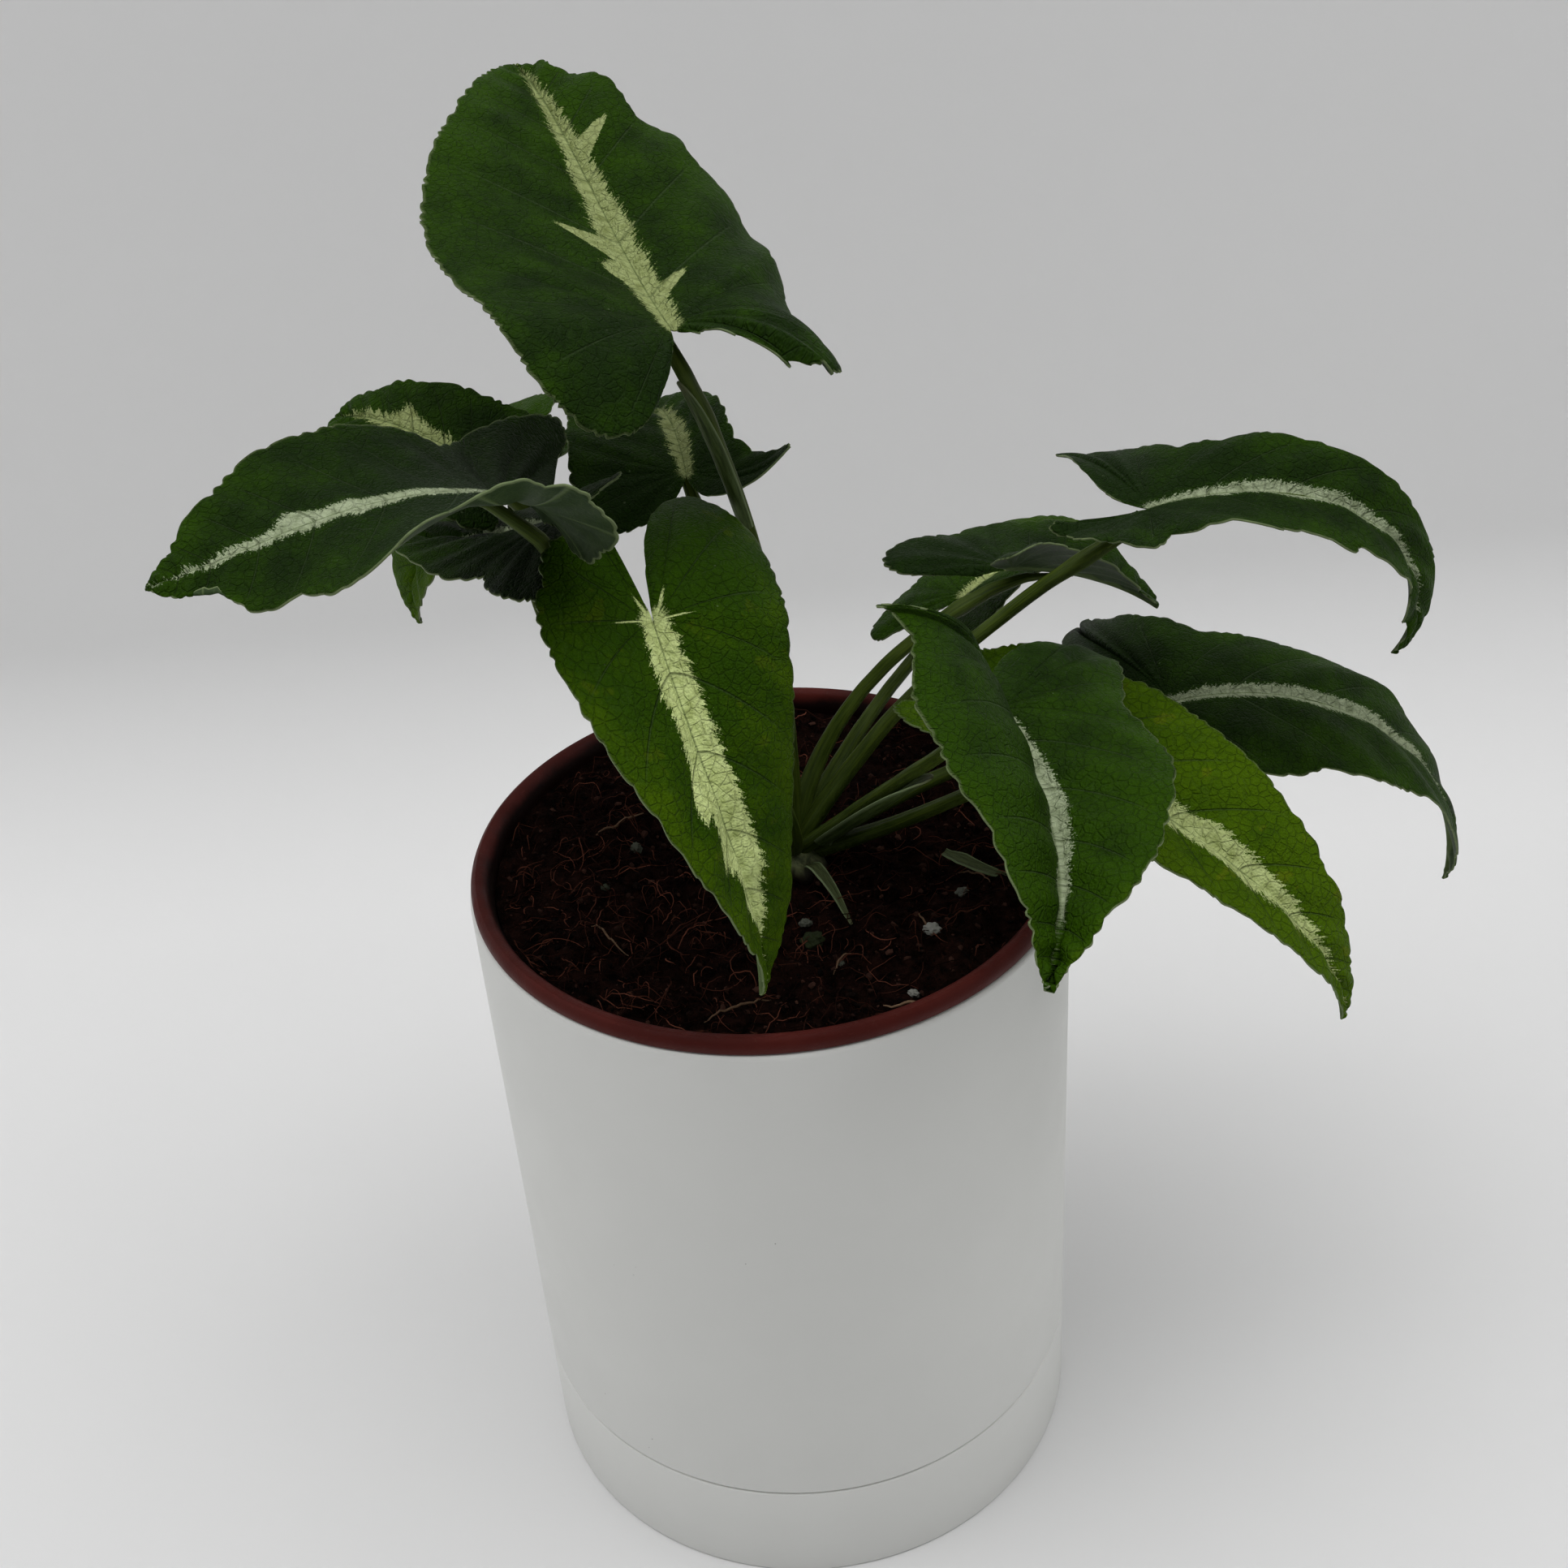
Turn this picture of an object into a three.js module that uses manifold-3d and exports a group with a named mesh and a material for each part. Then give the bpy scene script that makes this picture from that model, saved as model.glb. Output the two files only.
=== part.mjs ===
// A potted arrowhead plant: a straight cover pot on a drip tray, a nursery pot hung in it by its rim,
// soil, a crown, and thirteen leaves on their own stalks.
// Millimetres, +Z up. The origin is the centre of the underside of the drip tray.

import * as THREE from 'three';
import { mergeVertices } from 'three/addons/utils/BufferGeometryUtils.js';
import Module from 'manifold-3d';

const wasm = await Module();
wasm.setup();

// ---------------------------------------------------------------------------------------------------
// Driving dimensions
// ---------------------------------------------------------------------------------------------------

const GAP = 0.3; // clearance between pieces that rest on, or sit beside, each other
const WELD = 1e-4; // points closer than this are one point
const ROUND_SIDES = 48; // flats round each turned piece
const HOLE_SIDES = 12; // flats round each hole

const POT_RADIUS = 60.5; // outside of the cover pot and the drip tray
const POT_TOP = 150.4; // top edge of the cover pot above the surface it stands on
const POT_WALL = 3;
const POT_FLOOR = 4;
const POT_EDGE_ROUND = 1.2; // rounding of the top edge's outer corner
const POT_FOOT_DEPTH = 5; // foot ring that locates the pot in the tray
const POT_FOOT_WIDTH = 4;
const POT_DRAIN_RADIUS = 5;

const TRAY_HEIGHT = 26;
const TRAY_WALL = 3;
const TRAY_FLOOR = 3;
const FOOT_CLEARANCE = 0.6; // between the foot ring and the tray wall

const RIM_SETBACK = 0.5; // how far the nursery rim stays inside the cover pot's outline
const RIM_SKIRT = 3; // height of the nursery rim
const RIM_TOP_WIDTH = 2.3;
const NURSERY_WALL = 1.2;
const NURSERY_CLEARANCE = 0.5; // between the nursery pot and the cover pot's bore
const NURSERY_DEPTH = 106; // from the top of the rim to the underside of its floor
const NURSERY_BASE_RADIUS = 43;
const NURSERY_HOLES = 6;
const NURSERY_HOLE_RADIUS = 4;
const NURSERY_HOLE_CIRCLE = 28; // radius of the ring of holes

const SOIL_DROP = 4; // soil level below the top of the nursery rim
const SOIL_MOUND = 0.8; // height of its bumps
const SOIL_RINGS = 5; // rings of points on its surface

const CROWN_RADIUS = 8;
const CROWN_DEPTH = 7; // how deep the crown sits in the soil, and how far it stands above it
const CROWN_OFFSET_X = 4;
const CROWN_SIDES = 16;
const CROWN_RINGS = 8;

const PLANT_SCALE = 1; // size of the whole plant above the crown
const STALK_RADIUS = 1.2;
const STALK_REACH = 0.5; // how far along the straight distance a stalk keeps its first direction
const BLADE_THICKNESS = 0.7;
const SHEATH_THICKNESS = 0.5;
const SHEATH_POINT = 0.03; // how wide a sheath still is at its far end, as a share of its wrap squared

// ---------------------------------------------------------------------------------------------------
// Places worked out from the sizes above
// ---------------------------------------------------------------------------------------------------

const TRAY_BORE = POT_RADIUS - TRAY_WALL;
const POT_BASE = TRAY_HEIGHT + GAP;
const POT_BORE = POT_RADIUS - POT_WALL;
const RIM_RADIUS = POT_RADIUS - RIM_SETBACK;
const RIM_TOP = POT_TOP + GAP + RIM_SKIRT;
const NURSERY_NECK = POT_BORE - NURSERY_CLEARANCE; // outside, level with the cover pot's edge
const RIM_ROUND = RIM_TOP_WIDTH / 4;
const NURSERY_BASE = RIM_TOP - NURSERY_DEPTH;
const SOIL_LEVEL = RIM_TOP - SOIL_DROP;
const CROWN_PLACE = new THREE.Vector3(CROWN_OFFSET_X, 0, SOIL_LEVEL);

const STALK_SIDES = 6;
const STALK_STEPS = 14;
const BLADE_ROWS = 18; // from the notch at the stalk, round the lobe, to the tip
const BLADE_COLUMNS = 3; // from the midrib to the margin
const MIDRIB_STEPS = 40;
const SHEATH_ROWS = 8;
const SHEATH_COLUMNS = 4;

// Each leaf: where its stalk joins the blade (millimetres from the crown), how the midrib runs
// (heading 0 is +X and 90 is +Y, pitch is upward; droop and hook bend it down towards the tip, sweep
// turns it to the left), how the blade is rolled and twisted about it, and for the left and right half
// seen from the stalk: width, fold up from the midrib, curl on the way to the margin, lobe length as a
// share of the blade, how far the lobe bends back and how far it spreads. The stalk leaves the crown
// at an azimuth and a rise.
const LEAVES = [
  {
    name: 'top', join: [-13, -8, 117], length: 96, fullness: 0.15,
    heading: 105, pitch: 1, droop: -50, hook: 50, sweep: 5, roll: 25, twist: -5,
    left: { width: 35, fold: 5, curl: -20, lobe: 0.3, back: 55, spread: -5 },
    right: { width: 28, fold: 50, curl: -75, lobe: 0.15, back: 15, spread: 20 },
    stalk: { azimuth: 66, rise: 79 },
  },
  {
    name: 'left_front', join: [-42, -22, 96], length: 62, fullness: 0.1,
    heading: 195, pitch: 23, droop: 70, hook: -45, sweep: 10, roll: 15, twist: -45,
    left: { width: 31, fold: -5, curl: 40, lobe: 0.25, back: 65, spread: -10 },
    right: { width: 30, fold: -10, curl: 25, lobe: 0.35, back: 20, spread: 55 },
    stalk: { azimuth: 249, rise: 60 },
  },
  {
    name: 'left_back', join: [-55, 29, 80], length: 41, fullness: -0.1,
    heading: 149, pitch: 18, droop: 30, hook: 20, sweep: -20, roll: -15, twist: -15,
    left: { width: 16, fold: 15, curl: -15, lobe: 0.35, back: 15, spread: 10 },
    right: { width: 14, fold: 20, curl: -20, lobe: 0.35, back: 15, spread: 10 },
    stalk: { azimuth: 118, rise: 40 },
  },
  {
    name: 'left_hanging', join: [-52, 60, 66], length: 46, fullness: 0,
    heading: 197, pitch: -19, droop: 65, hook: 15, sweep: 5, roll: 5, twist: -15,
    left: { width: 22, fold: 15, curl: -15, lobe: 0.35, back: 15, spread: 10 },
    right: { width: 22, fold: 15, curl: -25, lobe: 0.35, back: 10, spread: 10 },
    stalk: { azimuth: 168, rise: 28 },
  },
  {
    name: 'behind_stalk', join: [-14, 35, 70], length: 44, fullness: 0.15,
    heading: 96, pitch: 20, droop: 45, hook: 10, sweep: 10, roll: 5, twist: 0,
    left: { width: 22, fold: 5, curl: 0, lobe: 0.32, back: 20, spread: 15 },
    right: { width: 11, fold: 20, curl: 15, lobe: 0.5, back: -50, spread: 30 },
    stalk: { azimuth: 95, rise: 60 },
  },
  {
    name: 'left_low', join: [-35, 6, 78], length: 47, fullness: 0,
    heading: 146, pitch: -28, droop: -30, hook: -5, sweep: 20, roll: -5, twist: 15,
    left: { width: 24, fold: 10, curl: -15, lobe: 0.35, back: 25, spread: 40 },
    right: { width: 12, fold: 10, curl: -30, lobe: 0.2, back: -5, spread: 0 },
    stalk: { azimuth: 190, rise: 50 },
  },
  {
    name: 'front', join: [-20, -32, 75], length: 72, fullness: -0.15,
    heading: -75, pitch: -31, droop: 64, hook: 0, sweep: 35, roll: 0, twist: -25,
    left: { width: 26, fold: 20, curl: -60, lobe: 0.5, back: 45, spread: 5 },
    right: { width: 22, fold: 25, curl: -25, lobe: 0.3, back: -10, spread: -5 },
    stalk: { azimuth: 275, rise: 50 },
  },
  {
    name: 'right_top', join: [72, 6, 69], length: 78, fullness: -0.1,
    heading: -5, pitch: 19, droop: 80, hook: 65, sweep: 0, roll: -5, twist: 40,
    left: { width: 18, fold: 20, curl: -20, lobe: 0.2, back: -25, spread: 50 },
    right: { width: 20, fold: 10, curl: -5, lobe: 0.25, back: -35, spread: -5 },
    stalk: { azimuth: 10, rise: 56 },
  },
  {
    name: 'right_inner', join: [49, 25, 48], length: 42, fullness: 0,
    heading: 23, pitch: -13, droop: 30, hook: 0, sweep: 0, roll: -30, twist: 45,
    left: { width: 23, fold: 30, curl: -5, lobe: 0.5, back: 15, spread: 5 },
    right: { width: 16, fold: 20, curl: -10, lobe: 0.3, back: 15, spread: 25 },
    stalk: { azimuth: 50, rise: 62 },
  },
  {
    name: 'right_back', join: [43, 53, 27], length: 50, fullness: 0,
    heading: 43, pitch: 10, droop: 20, hook: 20, sweep: 0, roll: -15, twist: 20,
    left: { width: 18, fold: 15, curl: -30, lobe: 0.35, back: 15, spread: 10 },
    right: { width: 18, fold: 20, curl: -10, lobe: 0.35, back: 15, spread: 10 },
    stalk: { azimuth: 48, rise: 38 },
  },
  {
    name: 'right_front', join: [37, -36, 54], length: 67, fullness: 0.2,
    heading: -71, pitch: -5, droop: -5, hook: 20, sweep: -40, roll: -25, twist: 30,
    left: { width: 21, fold: 35, curl: -25, lobe: 0.35, back: 25, spread: 40 },
    right: { width: 31, fold: 65, curl: -60, lobe: 0.25, back: -55, spread: 35 },
    stalk: { azimuth: -32, rise: 45 },
  },
  {
    name: 'right_bright', join: [51, -18, 35], length: 79, fullness: 0,
    heading: -50, pitch: -10, droop: 20, hook: 55, sweep: 25, roll: -5, twist: 5,
    left: { width: 22, fold: 25, curl: -10, lobe: 0.35, back: 10, spread: -5 },
    right: { width: 17, fold: 15, curl: -20, lobe: 0.35, back: 15, spread: 10 },
    stalk: { azimuth: -12, rise: 22 },
  },
  {
    name: 'right_low', join: [82, 24, 14], length: 95, fullness: -0.05,
    heading: -2, pitch: 14, droop: 100, hook: 10, sweep: -5, roll: 15, twist: -5,
    left: { width: 22, fold: 5, curl: -20, lobe: 0.3, back: 45, spread: 50 },
    right: { width: 27, fold: 15, curl: -20, lobe: 0.2, back: -60, spread: 20 },
    stalk: { azimuth: 22, rise: 16 },
  },
];

const SIDE_SIGN = { left: -1, right: 1 };
const CORNER = 1 - Math.SQRT1_2; // how far the middle of a rounded corner lies inside the sharp one

// Half outline of a blade: across as a share of its half width, along as a share of the blade length,
// or of the lobe length where the third value is true.
const HALF_OUTLINE = [
  [0, 0, false],
  [0.03, -0.18, true],
  [0.12, -0.54, true],
  [0.31, -0.9, true],
  [0.56, -1, true],
  [0.82, -0.74, true],
  [0.97, -0.26, true],
  [1, 0.1, false],
  [0.94, 0.32, false],
  [0.77, 0.54, false],
  [0.52, 0.74, false],
  [0.24, 0.9, false],
  [0.07, 0.975, false],
  [0, 1, false],
];
const LOBE_TURN = 0.1; // share of the length where a spreading lobe starts to swing out
const LOBE_INNER = 0.35; // share of the half width inside which the notch stays closed
const VEIN_LEAN = 0.15; // how far a vein runs forward on its way to the margin

// Sheaths: thin gutters. The first two wrap a stalk between two shares of its length, the others lie
// on a line of their own from the crown.
const SHEATHS = [
  { name: 'sheath_top', stalk: 'top', from: 0.68, to: 0.94, wrap: 120, lift: 0.1 },
  { name: 'sheath_right_front', stalk: 'right_front', from: 0.12, to: 0.6, wrap: 200, lift: 0.6 },
  { name: 'sheath_lance', line: [[10, -2, 9], [18, -3, 17], [27, -4, 25]], wrap: 150, bore: 1.5 },
  { name: 'sheath_dried', line: [[5, -9, 5], [8, -15, 4], [11, -24, 2]], wrap: 120, bore: 1.4 },
  { name: 'bract_small', line: [[31, -7, 7], [37, -11, 4], [44, -14, 3]], wrap: 120, bore: 1.6 },
];

// ---------------------------------------------------------------------------------------------------
// Materials
// ---------------------------------------------------------------------------------------------------

const finish = (color, roughness) => new THREE.MeshStandardMaterial({ color, roughness, metalness: 0 });
const GLAZE = finish(0xd9dad6, 0.55);
const TERRACOTTA = finish(0x6b2f27, 0.5);
const SOIL = finish(0x1a120d, 1);
const DARK_LEAF = finish(0x1f3a1a, 0.6);
const MID_LEAF = finish(0x2f5210, 0.55);
const BRIGHT_LEAF = finish(0x3f6d0c, 0.5);
const STALK = finish(0x44602a, 0.5);
const SHEATH = finish(0x6d8048, 0.6);
const LEAF_FINISH = {
  front: MID_LEAF,
  left_hanging: MID_LEAF,
  right_back: MID_LEAF,
  right_bright: BRIGHT_LEAF,
};

const plant = new THREE.Group();

function add(name, geometry, material) {
  const mesh = new THREE.Mesh(geometry, material);
  mesh.name = name;
  plant.add(mesh);
  return mesh;
}

// ---------------------------------------------------------------------------------------------------
// Solids and cuts
// ---------------------------------------------------------------------------------------------------

// One turned piece from its closed profile of [radius, height] points.
function turned(profile) {
  const points = profile.map(([radius, height]) => new THREE.Vector2(radius, height));
  return new THREE.LatheGeometry(points, ROUND_SIDES).rotateX(Math.PI / 2);
}

function solidOf(geometry) {
  const bare = geometry.clone();
  bare.deleteAttribute('normal');
  bare.deleteAttribute('uv');
  const merged = mergeVertices(bare, WELD);
  const index = merged.index.array;
  const triVerts = [];
  for (let i = 0; i < index.length; i += 3) {
    const [a, b, c] = [index[i], index[i + 1], index[i + 2]];
    if (a !== b && b !== c && a !== c) triVerts.push(a, b, c);
  }
  const vertProperties = new Float32Array(merged.attributes.position.array);
  const mesh = new wasm.Mesh({ numProp: 3, vertProperties, triVerts: new Uint32Array(triVerts) });
  return new wasm.Manifold(mesh);
}

function geometryOf(solid) {
  const mesh = solid.getMesh();
  const geometry = new THREE.BufferGeometry();
  geometry.setAttribute('position', new THREE.BufferAttribute(new Float32Array(mesh.vertProperties), 3));
  geometry.setIndex(new THREE.BufferAttribute(new Uint32Array(mesh.triVerts), 1));
  geometry.computeVertexNormals();
  return geometry;
}

function cut(geometry, ...tools) {
  let solid = solidOf(geometry);
  for (const tool of tools) solid = solid.subtract(solidOf(tool));
  return geometryOf(solid);
}

// Gives an open surface a thickness, half of it to each side, and closes its edge.
function thicken(points, triangles, thickness) {
  const surface = new THREE.BufferGeometry().setFromPoints(points);
  surface.setIndex(triangles);
  const merged = mergeVertices(surface, WELD);
  const source = merged.index.array;
  const faces = [];
  for (let i = 0; i < source.length; i += 3) {
    const [a, b, c] = [source[i], source[i + 1], source[i + 2]];
    if (a !== b && b !== c && a !== c) faces.push([a, b, c]);
  }
  merged.setIndex(faces.flat());
  merged.computeVertexNormals();
  const place = merged.attributes.position;
  const normal = merged.attributes.normal;
  const count = place.count;
  const positions = [];
  for (const sign of [1, -1]) {
    for (let i = 0; i < count; i += 1) {
      const step = (sign * thickness) / 2;
      positions.push(
        place.getX(i) + normal.getX(i) * step,
        place.getY(i) + normal.getY(i) * step,
        place.getZ(i) + normal.getZ(i) * step,
      );
    }
  }
  const edges = new Set();
  for (const [a, b, c] of faces) {
    edges.add(`${a},${b}`).add(`${b},${c}`).add(`${c},${a}`);
  }
  const index = faces.flat();
  for (const [a, b, c] of faces) index.push(c + count, b + count, a + count);
  for (const edge of edges) {
    const [a, b] = edge.split(',').map(Number);
    if (!edges.has(`${b},${a}`)) index.push(a, a + count, b, b, a + count, b + count);
  }
  const geometry = new THREE.BufferGeometry();
  geometry.setAttribute('position', new THREE.Float32BufferAttribute(positions, 3));
  geometry.setIndex(index);
  geometry.computeVertexNormals();
  return geometry;
}

// ---------------------------------------------------------------------------------------------------
// Leaf blades
// ---------------------------------------------------------------------------------------------------

const radians = THREE.MathUtils.degToRad;

// Direction of the midrib, the blade's right-hand side and its upper face at a share of its length.
function bladeFrame(leaf, share) {
  const heading = radians(leaf.heading + leaf.sweep * share);
  const pitch = radians(leaf.pitch - leaf.droop * share - leaf.hook * share ** 3);
  const roll = radians(leaf.roll + leaf.twist * share);
  const ahead = new THREE.Vector3(
    Math.cos(heading) * Math.cos(pitch),
    Math.sin(heading) * Math.cos(pitch),
    Math.sin(pitch),
  );
  const level = new THREE.Vector3(Math.sin(heading), -Math.cos(heading), 0);
  const above = new THREE.Vector3().crossVectors(level, ahead);
  const beside = level.clone().multiplyScalar(Math.cos(roll)).addScaledVector(above, -Math.sin(roll));
  const up = above.clone().multiplyScalar(Math.cos(roll)).addScaledVector(level, Math.sin(roll));
  return { ahead, beside, up };
}

function joinOf(leaf) {
  return new THREE.Vector3(...leaf.join).multiplyScalar(PLANT_SCALE).add(CROWN_PLACE);
}

// Points along the midrib at equal steps from the stalk to the tip.
function midribOf(leaf) {
  const points = [joinOf(leaf)];
  const step = (leaf.length * PLANT_SCALE) / MIDRIB_STEPS;
  for (let i = 0; i < MIDRIB_STEPS; i += 1) {
    const middle = bladeFrame(leaf, (i + 0.5) / MIDRIB_STEPS).ahead;
    points.push(points[i].clone().addScaledVector(middle, step));
  }
  return points;
}

// A point of the flat blade, carried onto the bent one. Across runs out from the midrib, along runs
// from the stalk to the tip and is negative in the lobe.
function bladePoint(leaf, midrib, side, across, along) {
  const half = leaf[side];
  const length = leaf.length * PLANT_SCALE;
  const share = THREE.MathUtils.clamp(along / length, 0, 1);
  const { ahead, beside, up } = bladeFrame(leaf, share);
  const step = Math.min(Math.floor(share * MIDRIB_STEPS), MIDRIB_STEPS - 1);
  const point = midrib[step].clone().lerp(midrib[step + 1], share * MIDRIB_STEPS - step);
  const behind = Math.max(0, -along);
  if (behind > 0) {
    const lobeLength = half.lobe * length;
    const bend = radians(half.back);
    const angle = (bend * behind) / lobeLength;
    point.addScaledVector(ahead, (-lobeLength / bend) * Math.sin(angle));
    point.addScaledVector(up, (-lobeLength / bend) * (1 - Math.cos(angle)));
    up.multiplyScalar(Math.cos(angle)).addScaledVector(ahead, -Math.sin(angle));
  }
  const width = half.width * PLANT_SCALE;
  const fold = radians(half.fold);
  const curl = radians(half.curl || 1);
  const turned = fold + (curl * across) / width;
  const out = (width / curl) * (Math.sin(turned) - Math.sin(fold));
  const rise = (width / curl) * (Math.cos(fold) - Math.cos(turned));
  return point.addScaledVector(beside, SIDE_SIGN[side] * out).addScaledVector(up, rise);
}

// The flat half outline of a leaf at equal steps, with the midrib place that each point's vein leaves.
function halfOutline(leaf, side) {
  const half = leaf[side];
  const length = leaf.length * PLANT_SCALE;
  const width = half.width * PLANT_SCALE;
  const controls = HALF_OUTLINE.map(([across, along, inLobe]) => {
    const swell = along > 0 ? 1 + leaf.fullness * Math.sin(Math.PI * along) : 1;
    return new THREE.Vector3(across * swell, inLobe ? along * half.lobe : along, 0);
  });
  const veins = HALF_OUTLINE.map(([across, along]) => new THREE.Vector3(across, along, 0));
  const curve = new THREE.CatmullRomCurve3(controls, false, 'catmullrom');
  const veinCurve = new THREE.CatmullRomCurve3(veins, false, 'catmullrom');
  const rows = [];
  for (let row = 0; row <= BLADE_ROWS; row += 1) {
    const point = curve.getPoint(row / BLADE_ROWS);
    const vein = veinCurve.getPoint(row / BLADE_ROWS);
    let across = Math.max(0, point.x * width);
    const along = point.y * length;
    const swing = Math.max(0, LOBE_TURN * length - along) * Math.min(1, across / (LOBE_INNER * width));
    across += Math.tan(radians(half.spread)) * swing;
    const root = length * THREE.MathUtils.clamp(vein.y - VEIN_LEAN * vein.x, 0, 1);
    rows.push({ across, along, root: row === BLADE_ROWS ? length : root });
  }
  return rows;
}

function blade(leaf) {
  const midrib = midribOf(leaf);
  const points = [];
  const triangles = [];
  for (const side of ['right', 'left']) {
    const start = points.length;
    const rows = halfOutline(leaf, side);
    for (const { across, along, root } of rows) {
      for (let column = 0; column <= BLADE_COLUMNS; column += 1) {
        const share = column / BLADE_COLUMNS;
        const place = root + (along - root) * share;
        points.push(bladePoint(leaf, midrib, side, across * share, place));
      }
    }
    const wide = BLADE_COLUMNS + 1;
    for (let row = 0; row < BLADE_ROWS; row += 1) {
      for (let column = 0; column < BLADE_COLUMNS; column += 1) {
        const a = start + row * wide + column;
        const [b, c, d] = [a + 1, a + wide, a + wide + 1];
        if (side === 'right') triangles.push(a, b, c, b, d, c);
        else triangles.push(a, c, b, b, c, d);
      }
    }
  }
  return thicken(points, triangles, BLADE_THICKNESS);
}

// ---------------------------------------------------------------------------------------------------
// Stalks and sheaths
// ---------------------------------------------------------------------------------------------------

const fromAngles = (azimuth, rise) => new THREE.Vector3(
  Math.cos(radians(azimuth)) * Math.cos(radians(rise)),
  Math.sin(radians(azimuth)) * Math.cos(radians(rise)),
  Math.sin(radians(rise)),
);

// A stalk leaves the crown's surface in its own direction and ends just under the blade's join.
function stalkCurve(leaf) {
  const { azimuth, rise } = leaf.stalk;
  const first = fromAngles(azimuth, rise);
  const start = CROWN_PLACE.clone().addScaledVector(first, CROWN_RADIUS + GAP);
  const under = BLADE_THICKNESS / 2 + 2 * GAP + STALK_RADIUS;
  const end = joinOf(leaf).addScaledVector(bladeFrame(leaf, 0).up, -under);
  const bend = start.clone().addScaledVector(first, start.distanceTo(end) * STALK_REACH);
  return new THREE.QuadraticBezierCurve3(start, bend, end);
}

function stalk(leaf) {
  const section = new THREE.Shape();
  for (let i = 0; i < STALK_SIDES; i += 1) {
    const angle = (2 * Math.PI * i) / STALK_SIDES;
    const corner = [STALK_RADIUS * Math.cos(angle), STALK_RADIUS * Math.sin(angle)];
    if (i === 0) section.moveTo(...corner);
    else section.lineTo(...corner);
  }
  section.closePath();
  return new THREE.ExtrudeGeometry(section, { steps: STALK_STEPS, extrudePath: stalkCurve(leaf) });
}

// A gutter round a curve, open on its upper side at the root and closing to a point at the far end.
function sheath({ stalk: leafName, from = 0, to = 1, line, wrap, lift = 0, bore }) {
  const leaf = LEAVES.find((candidate) => candidate.name === leafName);
  const curve = leaf ? stalkCurve(leaf) : new THREE.CatmullRomCurve3(
    line.map((place) => new THREE.Vector3(...place).multiplyScalar(PLANT_SCALE).add(CROWN_PLACE)),
  );
  const inner = leaf ? STALK_RADIUS + GAP : bore;
  const middle = inner + lift + SHEATH_THICKNESS / 2;
  const points = [];
  const triangles = [];
  const wide = SHEATH_COLUMNS + 1;
  for (let row = 0; row <= SHEATH_ROWS; row += 1) {
    const share = row / SHEATH_ROWS;
    const at = from + (to - from) * share;
    const centre = curve.getPoint(at);
    const ahead = curve.getTangent(at);
    const beside = new THREE.Vector3(0, 0, 1).cross(ahead).normalize();
    const up = new THREE.Vector3().crossVectors(ahead, beside);
    const arc = radians(wrap) * Math.sqrt(1 - (1 - SHEATH_POINT) * share * share);
    for (let column = 0; column <= SHEATH_COLUMNS; column += 1) {
      const angle = (column / SHEATH_COLUMNS - 0.5) * arc;
      points.push(
        centre.clone()
          .addScaledVector(beside, middle * Math.sin(angle))
          .addScaledVector(up, -middle * Math.cos(angle)),
      );
    }
  }
  for (let row = 0; row < SHEATH_ROWS; row += 1) {
    for (let column = 0; column < SHEATH_COLUMNS; column += 1) {
      const a = row * wide + column;
      const [b, c, d] = [a + 1, a + wide, a + wide + 1];
      triangles.push(a, b, c, b, d, c);
    }
  }
  return thicken(points, triangles, SHEATH_THICKNESS);
}

// ---------------------------------------------------------------------------------------------------
// Pots, soil and crown
// ---------------------------------------------------------------------------------------------------

// The tool that cuts an upright round hole through a floor.
function holeThrough(radius, floor, x, y, underside) {
  const tool = new THREE.CylinderGeometry(radius, radius, 4 * floor, HOLE_SIDES);
  return tool.rotateX(Math.PI / 2).translate(x, y, underside);
}

function dripTray() {
  return turned([
    [0, 0],
    [POT_RADIUS, 0],
    [POT_RADIUS, TRAY_HEIGHT],
    [TRAY_BORE, TRAY_HEIGHT],
    [TRAY_BORE, TRAY_FLOOR],
    [0, TRAY_FLOOR],
  ]);
}

function coverPot() {
  const footOuter = TRAY_BORE - FOOT_CLEARANCE;
  const footInner = footOuter - POT_FOOT_WIDTH;
  const shell = turned([
    [0, POT_BASE],
    [footInner, POT_BASE],
    [footInner, POT_BASE - POT_FOOT_DEPTH],
    [footOuter, POT_BASE - POT_FOOT_DEPTH],
    [footOuter, POT_BASE],
    [POT_RADIUS, POT_BASE],
    [POT_RADIUS, POT_TOP - POT_EDGE_ROUND],
    [POT_RADIUS - POT_EDGE_ROUND * CORNER, POT_TOP - POT_EDGE_ROUND * CORNER],
    [POT_RADIUS - POT_EDGE_ROUND, POT_TOP],
    [POT_BORE, POT_TOP],
    [POT_BORE, POT_BASE + POT_FLOOR],
    [0, POT_BASE + POT_FLOOR],
  ]);
  return cut(shell, holeThrough(POT_DRAIN_RADIUS, POT_FLOOR, 0, 0, POT_BASE));
}

// Outside of the nursery pot's tapered wall at a height.
function nurseryRadius(height) {
  const share = (height - NURSERY_BASE) / (POT_TOP - NURSERY_BASE);
  return THREE.MathUtils.lerp(NURSERY_BASE_RADIUS, NURSERY_NECK, share);
}

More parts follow.
